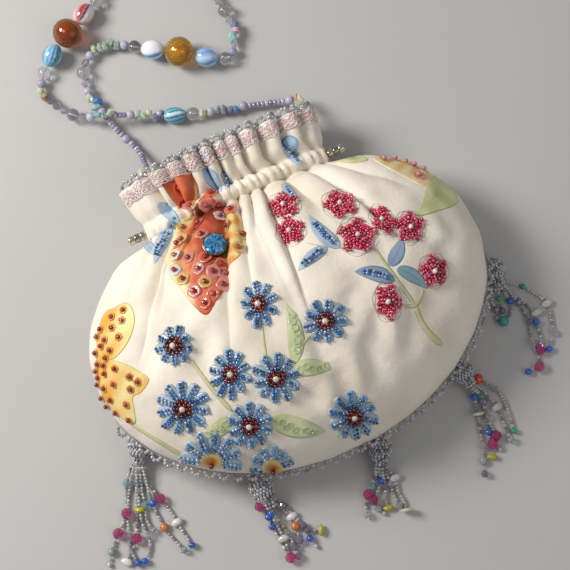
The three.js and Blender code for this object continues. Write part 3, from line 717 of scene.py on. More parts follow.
def lathe_template(profile, sides, dimple=0.0):
    """A bead of radius and length 1: a profile of (place, radius) turned about the hole, with closed ends."""
    profile = np.asarray(profile, dtype=float)
    far = profile[:, 1, None, None] * compass(turns(sides))
    high = np.broadcast_to(profile[:, 0, None, None], (len(profile), sides, 1))
    wall = np.concatenate([far, high], axis=2).reshape(-1, 3)
    ends = [(0.0, 0.0, profile[0, 0] + dimple), (0.0, 0.0, profile[-1, 0] - dimple)]
    return np.vstack([wall, ends]), sheet_faces(len(profile), sides, wrap=True), end_caps(len(profile), sides)


def round_profile(rings, fullness=0.5):
    """Places and radii of a ball, or of a fuller barrel, between its two ends."""
    t = (np.arange(rings) + 0.5) / rings
    t = 0.5 - 0.5 * np.cos(np.pi * t)
    return np.stack([t - 0.5, np.sin(np.pi * t) ** fullness], axis=1)


def ball_profile(rings):
    """Places and radii of a true ball of length 1 and radius 1 across."""
    angle = np.linspace(0, np.pi, rings + 2)[1:-1]
    return np.stack([-0.5 * np.cos(angle), np.sin(angle)], axis=1)


SEED = lathe_template([(-0.5, 0.5), (-0.3, 0.94), (0.3, 0.94), (0.5, 0.5)], 7, dimple=0.16)
BALL = lathe_template(ball_profile(6), 12)
FACETED = lathe_template([(-0.5, 0.42), (-0.2, 0.97), (0.2, 0.97), (0.5, 0.42)], 6)
CRYSTAL = lathe_template([(-0.5, 0.3), (0.0, 1.0), (0.5, 0.3)], 6)
CHIP = lathe_template([(-0.48, 0.35), (-0.3, 0.85), (0.1, 1.0), (0.38, 0.7), (0.5, 0.25)], 8)
RING_BEAD = lathe_template([(-0.5, 0.55), (-0.49, 0.86), (-0.43, 0.97), (-0.3, 1.0),
                            (0.3, 1.0), (0.43, 0.97), (0.49, 0.86), (0.5, 0.55)], 18, 0.2)


def set_beads(template, centre, axis, length, radius, tint, second=None, up=None):
    """Many beads at once: each template point is the centre, plus its share of length and radius each way."""
    shape, quads, caps = template
    centre = np.atleast_2d(centre)
    count = len(centre)
    axis = unit(np.broadcast_to(np.asarray(axis, dtype=float), (count, 3)))
    side, third = square_to(axis, up)
    sizes = (radius, radius if second is None else second, length)
    wide, thick, long = (np.broadcast_to(size, count)[:, None, None] for size in sizes)
    points = (centre[:, None] + shape[:, 0:1] * wide * side[:, None] + shape[:, 1:2] * thick * third[:, None]
              + shape[:, 2:3] * long * axis[:, None])
    shift = (np.arange(count) * len(shape))[:, None, None]
    tints = np.repeat(np.broadcast_to(tint, (count, 3)), len(shape), axis=0)
    return points.reshape(-1, 3), [(quads + shift).reshape(-1, 4), (caps + shift).reshape(-1, 3)], tints


def joined(batches):
    """One batch of all the points, faces and tints."""
    starts = np.cumsum([0] + [len(points) for points, _, _ in batches])
    faces = [block + start for batch, start in zip(batches, starts) for block in batch[1]]
    blocks = [[block for block in faces if block.shape[1] == corners] for corners in (4, 3)]
    return (np.vstack([batch[0] for batch in batches]), [np.vstack(group) for group in blocks if group],
            np.vstack([batch[2] for batch in batches]))


def batch_piece(name, batches, look, smooth=True, skin=0.0):
    """One piece of many batches in a finish; skin gives open patches a thickness in millimetres."""
    points, faces, tint = joined(batches)
    piece = new_piece(name, points, faces, finish(look), tint=tint, smooth=smooth)
    if skin:
        solidify = piece.modifiers.new("thickness", "SOLIDIFY")
        solidify.thickness = skin * MM
        solidify.offset = -1.0
    return piece


def tube(path, radius, tint, sides=5, closed=False):
    """A thread: a ring of points carried along a path, square to it, with pointed ends unless closed."""
    path = np.asarray(path, dtype=float)
    count = len(path)
    if closed:
        along = unit(np.roll(path, -1, axis=0) - np.roll(path, 1, axis=0))
    else:
        along = unit(np.gradient(path, axis=0))
    side, third = square_to(along)
    rings = path[:, None] + radius * around(side[:, None], third[:, None], turns(sides))
    points = rings.reshape(-1, 3)
    if closed:
        faces = [sheet_faces(count + 1, sides, wrap=True) % len(points)]
    else:
        points = np.vstack([points, path[:1] - along[:1] * radius, path[-1:] + along[-1:] * radius])
        faces = [sheet_faces(count, sides, wrap=True), end_caps(count, sides)]
    return points, faces, np.broadcast_to(tint, (len(points), 3))


# a pixel is on the cloth if the place found shows within this many pixels of it
ON_CLOTH = 1.6
# height of a sewn bead's middle against its radius, and pixels to the point that it heads for
SEAT = 0.85
AHEAD = 1.5


def sewn(pixels, lift):
    """Points above the cloth under photo pixels, its normal there, and which pixels are on the cloth."""
    pixels = np.atleast_2d(np.asarray(pixels, dtype=float))
    place = on_front(pixels)
    points, normal = off_cloth(place[:, 0], place[:, 1], lift)
    miss = np.linalg.norm(seen_at(cloth(place[:, 0], place[:, 1], 1)[0]) - pixels, axis=1)
    return points, normal, miss < ON_CLOTH


def sewn_beads(template, pixels, heading, length, radius, tint, lift=0.0, upright=False):
    """Beads sewn on the cloth: each lies along its heading in the photo, or stands on its hole if upright."""
    pixels = np.atleast_2d(np.asarray(pixels, dtype=float))
    heading = unit(np.broadcast_to(np.asarray(heading, dtype=float), pixels.shape))
    rest = length / 2 if upright else radius
    points, normal, on = sewn(pixels, lift + SEAT * rest)
    ahead, _, _ = sewn(pixels + AHEAD * heading, lift + SEAT * rest)
    axis = normal if upright else ahead - points
    tint = np.broadcast_to(tint, (len(pixels), 3))
    length, radius = (np.broadcast_to(v, len(pixels))[on] for v in (length, radius))
    up = None if upright else normal[on]
    return set_beads(template, points[on], axis[on], length, radius, tint[on], up=up)


def vary(rng, count, middle, dark=0.6, pale=0.4):
    """Tints of a handful of like beads: the middle colour, deepened or paled by a random share."""
    middle = shade(middle)
    shift = rng.uniform(-1.0, 1.0, (count, 1))
    other = np.where(shift < 0, middle * (1 - dark), middle + (1 - middle) * pale)
    return middle + (other - middle) * np.abs(shift)


# Sewn flowers and leaves, placed by photo pixels

RING_RADIUS = 0.92
HEART_REACH = 9.0
CUT_REACH = 11.0
WIDEST_PETAL = 12.0
SEED_SHARE = 1.9
PATCH_LIFT = 0.24
PETAL_LIFT = 0.4
PATCH_SKIN = 0.22
WIRE_RADIUS = 0.07
EDGE_LIFT = 0.02
# centre x, y, radius to the petal tips, first petal's angle in degrees, petals, width against height
DAISIES = (
    (174.5, 346, 21, 8, 9, 0.92), (230, 374, 25.5, 12, 10, 0.86), (183, 408, 28, 5, 11, 1),
    (259, 304, 24.5, 20, 9, 0.8), (325, 321, 23, 0, 9, 1), (276, 378, 25.5, 22, 10, 1),
    (250, 425, 23.5, 15, 10, 1), (353, 416, 25.5, 10, 10, 1),
)
# the same for the two flowers that the bottom seam cuts
CUT_DAISIES = ((211, 462, 31, 8, 12, 1.1), (272, 468, 23, 12, 11, 1))
# centre x, y, half width, half height, turn in degrees
RED_FLOWERS = (
    (284.5, 205.5, 12.5, 10.5, 0), (290.5, 231, 11.8, 11.5, 0), (340, 204.5, 14.5, 11.5, 10),
    (357, 236, 16.5, 15, 0), (382.5, 220, 8.5, 13.5, -38), (409, 227.5, 12.5, 13.2, 0),
    (433, 271, 12, 13.5, 0), (387.5, 301.5, 11, 16, -8),
)
RED_RINGS = (0.24, 0.43, 0.62, 0.8, 0.97)
# base x, y, tip x, y, width, bend to the side, kind, rows of beads
LEAVES = (
    (282.5, 183.5, 298.6, 200.4, 10, 1, "blue", 1), (340.4, 247.3, 308.4, 214.8, 15, -3, "blue", 2),
    (327.2, 247.3, 297.9, 270.8, 13, 2, "blue", 2), (394.5, 281, 354.3, 271.5, 16, 3, "dusk", 2),
    (389.5, 265.6, 402, 237.8, 15, 2, "dusk", 0), (396.8, 268.6, 427.5, 289, 14, -3, "teal", 0),
    (294, 363.7, 285.5, 303.4, 17, 6, "green", 0), (293.3, 370, 331.5, 368.5, 18, -2, "green", 0),
    (230.4, 417, 202.6, 436, 18, -3, "green", 0), (269.9, 418.6, 326, 431, 22, 3, "green", 0),
    (157.7, 202.8, 181, 224, 12, 0, "blue", 0), (144, 241, 158, 256, 10, 0, "blue", 0),
    (171.7, 226.6, 154, 264, 13, 2, "blue", 2), (169, 229, 176, 214, 9, 0, "blue", 1),
    (204, 168, 222, 192, 14, 0, "blue", 0), (222, 171, 230, 191, 6, 0, "dusk", 1),
    (195, 160, 214, 152, 11, 0, "blue", 0), (282.6, 146, 300.4, 165.5, 9, 0, "blue", 1),
)
# three pixels along each stem, then its width
STEMS = (
    ((372.6, 245.8), (392, 273), (416.6, 307.4), 4), ((416.6, 306), (424, 326), (442.5, 345.5), 6),
    ((400.5, 304.5), (408, 306.5), (417, 305), 4), ((422.5, 289), (421, 298), (414.5, 306.5), 4),
    ((306.7, 243), (326, 246.5), (346, 248.8), 1), ((188.2, 355.6), (210.3, 386.4), (233, 412), 4.4),
    ((261.8, 323.5), (263.5, 341), (265.8, 357), 3.4), ((312.7, 334.2), (299.5, 349), (293, 369), 3.2),
    ((131, 424), (150, 436), (186, 458), 4), ((236, 404), (240, 410), (246, 416), 3.6),
)
# light and dark colour of each kind of leaf
LEAF_COLOURS = {
    "blue": ("bfd2e2", "8aa8c4"), "dusk": ("9db0c8", "6a829f"), "teal": ("92b3bc", "5f8896"),
    "green": ("dfe3b8", "b3b97e"), "stem": ("dfddb0", "b9b67e"),
}
ORANGE_FLOWER = (
    (206.8, 193), (216.6, 201.4), (230.7, 209.8), (240.5, 221), (242.6, 236.5), (240.5, 254.7),
    (229.3, 266), (227, 285.6), (216.6, 301), (206.8, 315), (194.2, 306.6), (180, 288.4), (169, 274.3),
    (167.5, 259), (173, 240.7), (177.3, 223.8), (188.6, 215.4), (195.6, 204.2),
)
HEADER_FLOWER = (
    (160, 181), (168, 175), (181, 172), (193, 176), (196, 188), (196, 200), (190, 209), (180, 208),
    (172, 200), (165, 190),
)
LEFT_UPPER = (
    (105.8, 311), (113, 308), (123.7, 302.6), (131, 305.8), (134.8, 317.4), (133.2, 330), (126.8, 344.7),
    (115.3, 358), (106, 361), (97, 361), (96.3, 342.6), (99.5, 323.7),
)
LEFT_LOWER = (
    (97, 358), (106, 359), (117.4, 361), (130, 365.8), (140.5, 372), (149, 378.4), (146.8, 385.8),
    (140.5, 393.2), (133.2, 397.4), (134.6, 410), (135.9, 422.6), (130, 423.7), (119.5, 416.3),
    (106.8, 403.7), (100.5, 391), (96.3, 374.2),
)
RIGHT_FLOWER = (
    (373, 158), (395, 156), (420, 161), (439, 169), (433, 178), (424, 186), (405, 177), (388, 168),
)
BIG_LEAF = ((440, 174), (448, 183), (458, 202), (436, 212), (417, 215.5), (423, 200), (426.5, 184))
SMALL_LEAF = ((336, 160), (346, 151), (358, 154), (368, 160), (352, 163))
HEADER_PETAL = ((281, 142), (288, 135.5), (296, 138), (298, 145), (292, 151.5), (285, 150))
# sequins: x, y and, in the second table, colour
GOLD_SEQUINS = (
    (123.7, 310.4), (112.1, 317), (122.2, 320.5), (112.5, 327.9), (101, 329.6), (119, 337.2),
    (105.2, 340.1), (110.6, 350.4), (101.6, 346.2), (106.4, 357.8), (98.4, 364.1), (115.3, 368.5),
    (105.3, 373.6), (99, 377.7), (129.4, 376.3), (137.6, 381.6), (113.8, 383.9), (130.6, 389),
    (104.7, 388.1), (111, 399.5), (126.6, 404.1), (106.7, 406.2), (116.3, 412.4), (129.4, 419.5),
    (97.8, 337), (96.4, 353), (96.8, 371), (98.6, 384.5), (102, 398), (104.5, 365.5),
)
SEQUINS = (
    (177.3, 189.5, "coral"), (181.6, 204.2, "coral"), (189.3, 207, "pink"), (211, 193.7, "coral"),
    (205.4, 204.9, "pink"), (218, 204.2, "pink"), (230.7, 209.8, "coral"), (199.8, 223.8, "pink"),
    (182.3, 228.7, "honey"), (201.9, 235, "pink"), (227.9, 225.9, "honey"), (219.4, 216.8, "white"),
    (182.3, 240, "honey"), (177.3, 244.2, "coral"), (237.7, 247.7, "honey"), (175.2, 256, "white"),
    (188.6, 258.2, "pink"), (198.4, 268.7, "pink"), (174.5, 270.8, "white"), (220.8, 264.5, "coral"),
    (213.1, 271.5, "pink"), (224.4, 273.6, "pink"), (183, 279.3, "honey"), (205.4, 282, "honey"),
    (223, 284.9, "pink"), (194.2, 291.2, "pink"), (213.1, 294, "coral"), (204.7, 303, "coral"),
    (241.2, 234.4, "honey"), (205.4, 257.5, "coral"),
    *((x, y, "gold") for x, y in GOLD_SEQUINS),
    (384, 160, "honey"), (395, 160, "pink"), (405, 163, "honey"), (414, 166, "pink"), (424, 170, "honey"),
    (418, 176, "pink"), (431, 171, "pink"),
)
SEQUIN_COLOURS = {"coral": "e67858", "pink": "ec9a90", "honey": "efc67c", "white": "ffffff", "gold": "eaa548"}
GOLD_SHARE = 0.62
# sequins beyond these two pixels lie on the right flower, and their beads are pink
RIGHT_FLOWER_LEFT = 300
RIGHT_FLOWER_LOW = 180
SEQUIN_LIFT = 0.5
LEAF_SEQUIN = 1.7
# a direction that no disc's axis comes near, to turn all discs alike
DISC_UP = (-0.31, -0.95, 0.0)


def sideways(line):
    """Directions square to a line of pixels, on its left."""
    return unit(np.gradient(line, axis=0))[:, ::-1] * (-1.0, 1.0)


def bent_line(start, end, bend, steps):
    """Pixels along a curve from start to end that leaves the straight line by bend in its middle."""
    start, end = np.asarray(start, dtype=float), np.asarray(end, dtype=float)
    t = np.linspace(0.0, 1.0, steps)[:, None]
    run = end - start
    aside = np.array([-run[1], run[0]]) / np.hypot(*run)
    return start + run * t + aside * bend * np.sin(np.pi * t)


def blade(start, end, width, bend, round_base=0.55, round_tip=0.85, steps=36, across=13):
    """Pixels of a leaf or petal on a grid: a bent middle line, spread to each side by a rounded width."""
    t = np.linspace(0.0, 1.0, steps)
    middle = bent_line(start, end, bend, steps)
    aside = sideways(middle)
    swell = np.maximum(t, 0.002) ** round_base * np.maximum(1 - t, 0.002) ** round_tip
    half = width / 2 * np.maximum(swell / swell.max(), 0.02)
    spread = np.linspace(-1.0, 1.0, across)
    return middle[:, None] + aside[:, None] * (half[:, None] * spread)[..., None], t, spread


def patch(pixels, tints, lift):
    """A grid of pixels laid on the cloth, sunk along its border so that no edge stands off."""
    rows, columns = pixels.shape[:2]
    height = np.full((rows, columns), lift)
    height[[0, -1]] = height[:, [0, -1]] = EDGE_LIFT
    points = sewn(pixels.reshape(-1, 2), height.ravel())[0]
    faces = sheet_faces(rows, columns)
    a, b, _, d = points[faces[len(faces) // 2]]
    if np.cross(b - a, d - a)[2] < 0:
        faces = faces[:, ::-1]
    return points, [faces], tints.reshape(-1, 3)


def blend(light, dark, share):
    """Tints between two colours."""
    light, dark = shade(light), shade(dark)
    return light + (dark - light) * np.clip(share, 0.0, 1.0)[..., None]


def toward(tint, other, share):
    """Tints moved towards another colour by a share."""
    return tint + (shade(other) - tint) * share[..., None]


def leaf_patch(start, end, width, bend, kind):
    """A painted leaf: pale in the middle of each half, darker on the rim and along the vein and the base."""
    pixels, t, spread = blade(start, end, width, bend)
    rim = np.abs(spread) ** 6
    vein = np.exp(-(spread / 0.12) ** 2)
    ribs = 0.5 + 0.5 * np.sin(26 * t[:, None] + 9 * np.abs(spread))
    share = 0.75 * rim + 0.4 * vein + 0.12 * ribs + 0.35 * (1 - t[:, None]) ** 2
    return patch(pixels, blend(*LEAF_COLOURS[kind], share), PATCH_LIFT)


def stem_patch(points, width):
    """A painted stem along three pixels, a little wider at its lower end."""
    a, b, c = np.array(points[:3])
    t = np.linspace(0.0, 1.0, 24)[:, None]
    control = 2 * b - (a + c) / 2
    middle = (1 - t) ** 2 * a + 2 * t * (1 - t) * control + t ** 2 * c
    aside = sideways(middle)
    spread = np.linspace(-1.0, 1.0, 5)
    half = width / 2 * (0.85 + 0.3 * t) * np.minimum(1.0, 8 * np.minimum(t + 0.03, 1.03 - t))
    pixels = middle[:, None] + aside[:, None] * (half * spread)[..., None]
    share = np.broadcast_to(0.2 + 0.7 * np.abs(spread) ** 3, half.shape[:1] + spread.shape)
    return patch(pixels, blend(*LEAF_COLOURS["stem"], share), PATCH_LIFT)


def through(corners, k, t):
    """Points at a share t of the way from corner k to the next, on a smooth curve through all the corners."""
    a, b, c, d = (corners[(k + shift) % len(corners)] for shift in (-1, 0, 1, 2))
    t = t[:, None]
    square, cube = 2 * a - 5 * b + 4 * c - d, 3 * b - a - 3 * c + d
    return 0.5 * (2 * b + (c - a) * t + square * t ** 2 + cube * t ** 3)


def closed_line(corners, steps):
    """Points on a smooth closed curve through the corners."""
    u = np.linspace(0.0, len(corners), steps, endpoint=False)
    k = u.astype(int)
    return through(np.asarray(corners, dtype=float), k, u - k)


def smooth_line(corners, steps):
    """Points on a smooth open curve through the corners."""
    corners = np.asarray(corners, dtype=float)
    padded = np.vstack([2 * corners[0] - corners[1], corners, 2 * corners[-1] - corners[-2]])
    u = np.linspace(0.0, len(corners) - 1, steps)
    k = np.minimum(u.astype(int), len(corners) - 2)
    return through(padded, k + 1, u - k)


def outline_patch(corners, paint, steps=128, rings=22, lift=PATCH_LIFT):
    """A cut-out shape: rings that shrink from its outline to its middle, painted by place and by ring."""
    line = closed_line(corners, steps)
    middle = line.mean(axis=0)
    share = np.linspace(1.0, 0.03, rings)
    pixels = middle + (line - middle) * share[:, None, None]
    tints = paint(pixels, np.broadcast_to(share[:, None], (rings, steps)))
    points = sewn(pixels.reshape(-1, 2), np.repeat(np.where(share == 1.0, EDGE_LIFT, lift), steps))[0]
    faces = [sheet_faces(rings, steps, wrap=True),
             fan_faces(rings * steps, np.arange(steps) + (rings - 1) * steps, True)]
    a, b, _, d = points[faces[0].T]
    if np.cross(b - a, d - a)[:, 2].mean() < 0:
        faces = [block[:, ::-1] for block in faces]
    tints = np.vstack([tints.reshape(-1, 3), tints[-1].mean(axis=0)])
    return np.vstack([points, sewn(middle, lift)[0]]), faces, tints


def paint_orange(pixels, share):
    """Coral in the middle, deep brown round the stone, yellow on the right, a pale yellow rim on the left."""
    x, y = pixels[..., 0], pixels[..., 1]
    cloud = np.sin(0.35 * x + 0.2 * y) * np.sin(0.18 * x - 0.3 * y)
    tint = blend("f2b072", "da5c3e", smooth_step((x - 172) / 32) - 0.36 * cloud)
    spot = np.exp(-(((x - 216) / 20) ** 2 + ((y - 250) / 26) ** 2))
    brown = spot + np.exp(-((y - 212) / 9) ** 2) * (share > 0.5)
    tint = toward(tint, "74260a", np.clip(0.95 * brown, 0, 0.95))
    yellow = smooth_step((x - 222) / 10) * smooth_step((272 - y) / 12)
    tint = toward(tint, blend("f4d68c", "dd9440", 0.5 + 0.9 * cloud), yellow)
    pale = smooth_step((share - 0.74) / 0.16) * smooth_step((200 - x) / 14) * smooth_step((y - 205) / 12)
    return toward(tint, "f6e2a6", pale)


def paint_header(pixels, share):
    """Coral in the middle, red-brown to both sides, with a yellow rim on the right."""
    x = pixels[..., 0]
    tint = blend("ee7c52", "a8482a", smooth_step(np.abs(x - 180) / 16))
    rim = smooth_step((share - 0.82) / 0.12) * smooth_step((x - 183) / 8)
    return toward(tint, "f0c47a", rim)


def paint_yellow(pixels, share):
    """Pale yellow that deepens to orange on the left, with a light olive rim."""
    x, y = pixels[..., 0], pixels[..., 1]
    cloud = 0.85 * smooth_step((136 - x) / 34) + 0.25 * np.sin(0.21 * x + 0.17 * y)
    tint = blend("f6e8a4", "e9ac3c", cloud + 0.5 * smooth_step((x - 128) / 12) * (y > 360))
    return toward(tint, "d9cf92", smooth_step((share - 0.93) / 0.07))


def paint_amber(pixels, share):
    """Warm yellow-orange, paler along the rim."""
    cloud = 0.5 + 0.5 * np.sin(0.35 * pixels[..., 0] + 0.3 * pixels[..., 1])
    return blend("f8e6b8", "edbf70", cloud * (1.3 - share))


def paint_green(pixels, share):
    """Leaf green with a darker, clouded middle and a darker rim."""
    cloud = 0.5 + 0.5 * np.sin(0.3 * pixels[..., 0] - 0.22 * pixels[..., 1])
    rim = smooth_step((share - 0.9) / 0.1)
    return blend("e4e6b0", "a2a85a", 0.25 * cloud + 0.6 * rim + 0.75 * (1 - share) ** 2)


def paint_berry(pixels, share):
    """Raspberry with a deeper middle."""
    return blend("8e1c3c", "c4466a", share)


def paint_sky(pixels, share):
    """Pale blue with a greyer rim."""
    return blend("a9cbe2", "7ba3c4", smooth_step((share - 0.7) / 0.3))


OUTLINES = (
    (ORANGE_FLOWER, paint_orange), (HEADER_FLOWER, paint_header), (LEFT_UPPER, paint_yellow),
    (LEFT_LOWER, paint_yellow), (RIGHT_FLOWER, paint_amber), (BIG_LEAF, paint_green),
    (SMALL_LEAF, paint_green), (HEADER_PETAL, paint_sky),
)


class BAG_OT_painted_leaves(Operator):
    """Lay the painted flowers, leaves and stems on the front"""
    bl_idname = "bag.painted_leaves"
    bl_label = "Painted Leaves"

    def execute(self, context):
        batches = [outline_patch(corners, paint) for corners, paint in OUTLINES]
        batches += [leaf_patch(leaf[:2], leaf[2:4], *leaf[4:7]) for leaf in LEAVES]
        batches += [stem_patch(stem[:3], stem[3]) for stem in STEMS]
        batch_piece("painted_leaves", batches, "painted_silk", skin=PATCH_SKIN)
        return {"FINISHED"}


def daisy_petal(centre, way, reach, far, width, rng):
    """A petal of film, darker at its rim and root, with two rows of blue beads along it."""
    settings = bpy.context.scene.bag_sewn
    seed, film = settings.seed / MM, np.array(settings.film)
    pixels, t, spread = blade(centre + way * (reach - 3.0), centre + way * far, width, 0.0,
                              round_base=0.5, round_tip=0.3, steps=12, across=7)
    share = 0.15 + 0.55 * np.abs(spread) ** 4 + 0.35 * (1 - t[:, None]) ** 2
    aside = np.array([-way[1], way[0]]) * 0.13 * width
    count = max(int((far - reach) * 0.85 * PIXEL / (SEED_SHARE * seed)), 3)
    steps = np.linspace(reach + 1.0, far - 2.6, count)[:, None]
    beads = []
    for row in (-1.0, 1.0):
        line = centre + way * (steps + 0.6 * row) + row * aside
        tint = vary(rng, count, settings.daisy, 0.75, 0.5)
        beads.append(sewn_beads(SEED, line, way, SEED_SHARE * seed, seed, tint, PETAL_LIFT))
    return patch(pixels, blend(film, film * 0.5, share), PETAL_LIFT), beads


def daisy_heart(centre, wide, rng):
    """A ring of twelve dark red beads, a ring of six inside it and a pale bead on top."""
    angle = turns(12)
    ring = compass(angle) * (wide, 1.0)
    heading = compass(angle + np.pi / 2)
    tint = vary(rng, 12, bpy.context.scene.bag_sewn.garnet, 0.7, 0.08) * 0.62
    return [sewn_beads(SEED, centre + 7.4 * ring, heading, 1.55, RING_RADIUS, tint, PETAL_LIFT),
            sewn_beads(SEED, centre + 4.2 * ring[::2], heading[::2], 1.5, RING_RADIUS, tint[::2] * 0.8,
                       PETAL_LIFT + 0.3),
            sewn_beads(BALL, centre, (1.0, 0.3), 1.9, 1.35, shade("e8d6c8"), PETAL_LIFT + 0.7, upright=True)]


def daisy(x, y, radius, turn, petals, wide, rng, cut):
    """Petals round a centre and a heart, each left out where the seam cuts it off."""
    centre = np.array([x, y])
    reach = CUT_REACH if cut else HEART_REACH
    width = min(WIDEST_PETAL, 2.3 * np.pi * 0.72 * radius / petals) * wide ** 0.5
    films, beads = [], []
    for way in compass(np.radians(turn) + turns(petals)) * (wide, 1.0):
        far = radius * rng.uniform(0.93, 1.04)
        tests = centre + np.outer([(far + reach - 3.0) / 2, far * 0.85], way)
        if sewn(tests, 0.0)[2].all():
            film, rows = daisy_petal(centre, way, reach, far, width, rng)
            films.append(film)
            beads += rows
    return films, beads if cut else beads + daisy_heart(centre, wide, rng)


def paint_eye(pixels, share):
    """Orange-brown middle that pales to yellow at the rim."""
    return blend("c9741f", "f3d583", smooth_step((share - 0.25) / 0.6))


class BAG_OT_daisies(Operator):
    """Sew the blue daisies: film petals, seed beads and their centres"""
    bl_idname = "bag.daisies"
    bl_label = "Blue Daisies"

    def execute(self, context):
        rng = np.random.default_rng(DRAWS["daisies"])
        films, beads = [], []
        for flowers, cut in ((DAISIES, False), (CUT_DAISIES, True)):
            for flower in flowers:
                some_films, some_beads = daisy(*flower, rng, cut)
                films += some_films
                beads += some_beads
        for x, y, _, _, _, wide in CUT_DAISIES:
            corners = np.array([x, y - 1.0]) + 9.5 * compass(turns(8)) * (1.25 * wide, 0.85)
            films.append(outline_patch(corners, paint_eye, steps=32, rings=7, lift=PETAL_LIFT + 0.1))
            beads.append(sewn_beads(BALL, (x + 1.0, y + 1.0), (1.0, 0.4), 2.4, 1.3, shade("7a1714"),
                                    PETAL_LIFT + 0.2))
        batch_piece("daisy_petals", films, "dyed_organza", skin=PATCH_SKIN)
        batch_piece("daisy_beads", beads, "lined_seeds")
        return {"FINISHED"}


def oval_ring(x, y, wide, tall, lean, far, angle):
    """Pixels at angles round a turned oval, at shares of its two half sizes."""
    across, down = wide * far * np.cos(angle), tall * far * np.sin(angle)
    cos, sin = compass(np.radians(lean))
    return np.stack([x + across * cos - down * sin, y + across * sin + down * cos], axis=1)


def red_flower(flower, rng):
    """Rings of raspberry beads with five lobes round a pale bead, a dyed ground and two loops of wire."""
    settings = bpy.context.scene.bag_sewn
    seed = settings.berry_seed / MM
    radius = math.sqrt(flower[2] * flower[3])
    turn = rng.uniform(0.0, 1.0)
    angle = turns(15)
    ground = outline_patch(oval_ring(*flower, 0.9 + 0.12 * np.cos(5 * (angle - turn)), angle), paint_berry,
                           steps=48, rings=8)
    beads = []
    for share in RED_RINGS:
        count = int(2 * np.pi * share * radius * PIXEL / (1.85 * seed))
        angle = turns(count) + rng.uniform(0.0, 1.0)
        far = share * (1 + 0.19 * share * np.cos(5 * (angle - turn))) + rng.uniform(-0.06, 0.06, count)
        heading = compass(angle + np.pi / 2 + rng.normal(0.0, 0.5, count))
        tint = vary(rng, count, settings.berry, 0.42, 0.25)
        lift = 0.05 + rng.uniform(0.0, 0.3, count)
        beads.append(sewn_beads(SEED, oval_ring(*flower, far, angle), heading, 1.75 * seed, seed, tint, lift))
    beads.append(sewn_beads(BALL, flower[:2], (1.0, 0.5), 2.0, 1.2, shade("f2ece4"), 0.5))
    angle = turns(90)
    wires = []
    for reach, phase in ((1.08, 0.0), (1.16, 0.6)):
        far = reach + 0.2 * np.abs(np.cos(2.5 * (angle - turn + phase)))
        line = sewn(oval_ring(*flower, far, angle), 0.1)[0]
        wires.append(tube(line, WIRE_RADIUS, shade("bba99a"), closed=True))
    return ground, beads, wires


class BAG_OT_red_flowers(Operator):
    """Sew the raspberry bead flowers, with a loop of fine wire round each"""
    bl_idname = "bag.red_flowers"
    bl_label = "Red Flowers"

    def execute(self, context):
        rng = np.random.default_rng(DRAWS["red flowers"])
        grounds, beads, wires = zip(*(red_flower(flower, rng) for flower in RED_FLOWERS))
        batch_piece("red_flower_ground", grounds, "painted_silk", skin=PATCH_SKIN)
        batch_piece("red_flower_beads", sum(beads, []), "lined_seeds")
        batch_piece("red_flower_wires", sum(wires, []), "fine_thread")
        return {"FINISHED"}


def sequin(centre, normal, radius, tint, turn):
    """A pressed disc with five lobes, cupped towards its middle, with a painted highlight along its rim."""
    rings, sides = 3, 30
    angle = turns(sides)
    share = np.linspace(1.0, 0.2, rings)[:, None]
    lobes = 0.78 + 0.22 * np.abs(np.cos(2.5 * (angle + turn))) ** 0.5
    far = radius * share * (1 - share * (1 - lobes))
    high = (0.35 * share ** 2 - 0.1)[..., None] * normal
    points = centre + far[..., None] * around(*square_to(normal, DISC_UP), angle) + high
    faces = sheet_faces(rings, sides, wrap=True)
    caps = fan_faces(rings * sides, np.arange(sides) + (rings - 1) * sides, True)
    # the paler rim is a painted highlight on the disc's edge
    light = np.clip(tint * 1.3 + 0.06, 0.0, 1.0)
    tints = np.where(np.repeat(share, sides, axis=0) > 0.9, light, tint)
    return np.vstack([points.reshape(-1, 3), centre - 0.1 * normal]), [faces, caps], np.vstack([tints, tint])


class BAG_OT_sequins(Operator):
    """Sew the sequins with their beads, and the small round ones on the green leaves"""
    bl_idname = "bag.sequins"
    bl_label = "Sequins"

    def execute(self, context):
        rng = np.random.default_rng(DRAWS["sequins"])
        settings = context.scene.bag_sewn
        discs, beads = [], []
        found = sewn([row[:2] for row in SEQUINS], SEQUIN_LIFT)
        for (x, y, kind), point, normal, on in zip(SEQUINS, *found):
            if not on:
                continue
            tilt = unit(normal + rng.normal(0.0, 0.09, 3))
            wide = settings.sequin / MM * (GOLD_SHARE if kind == "gold" else 1.0)
            discs.append(sequin(point, tilt, wide, shade(SEQUIN_COLOURS[kind]), rng.uniform(0, 1)))
            if x > RIGHT_FLOWER_LEFT and y < RIGHT_FLOWER_LOW:
                tint = shade("d98a94")
            else:
                tint = vary(rng, 1, settings.garnet, 0.3, 0.1)[0] * (1.3, 1.2, 1.0)
            size = 1.0 if kind == "gold" else 1.15
            beads.append(sewn_beads(SEED, (x, y), (1.0, 0.0), 1.5 * size, size, tint, SEQUIN_LIFT,
                                    upright=True))
        for *ends, width, bend, kind, _ in LEAVES:
            if kind == "green":
                line = bent_line(ends[:2], ends[2:], bend, 11)[2:-2]
                shift = rng.uniform(-0.12, 0.12, line.shape) * width
                spots, leans, _ = sewn(line + shift, 0.35)
                leans = unit(leans + 0.16 * unit(np.gradient(spots, axis=0)))
                discs += [sequin(spot, lean, LEAF_SEQUIN, shade("d3dfae"), rng.uniform(0, 1))
                          for spot, lean in zip(spots, leans)]
        batch_piece("sequins", discs, "pearl_sequin", skin=0.12)
        batch_piece("sequin_beads", beads, "lined_seeds")
        return {"FINISHED"}


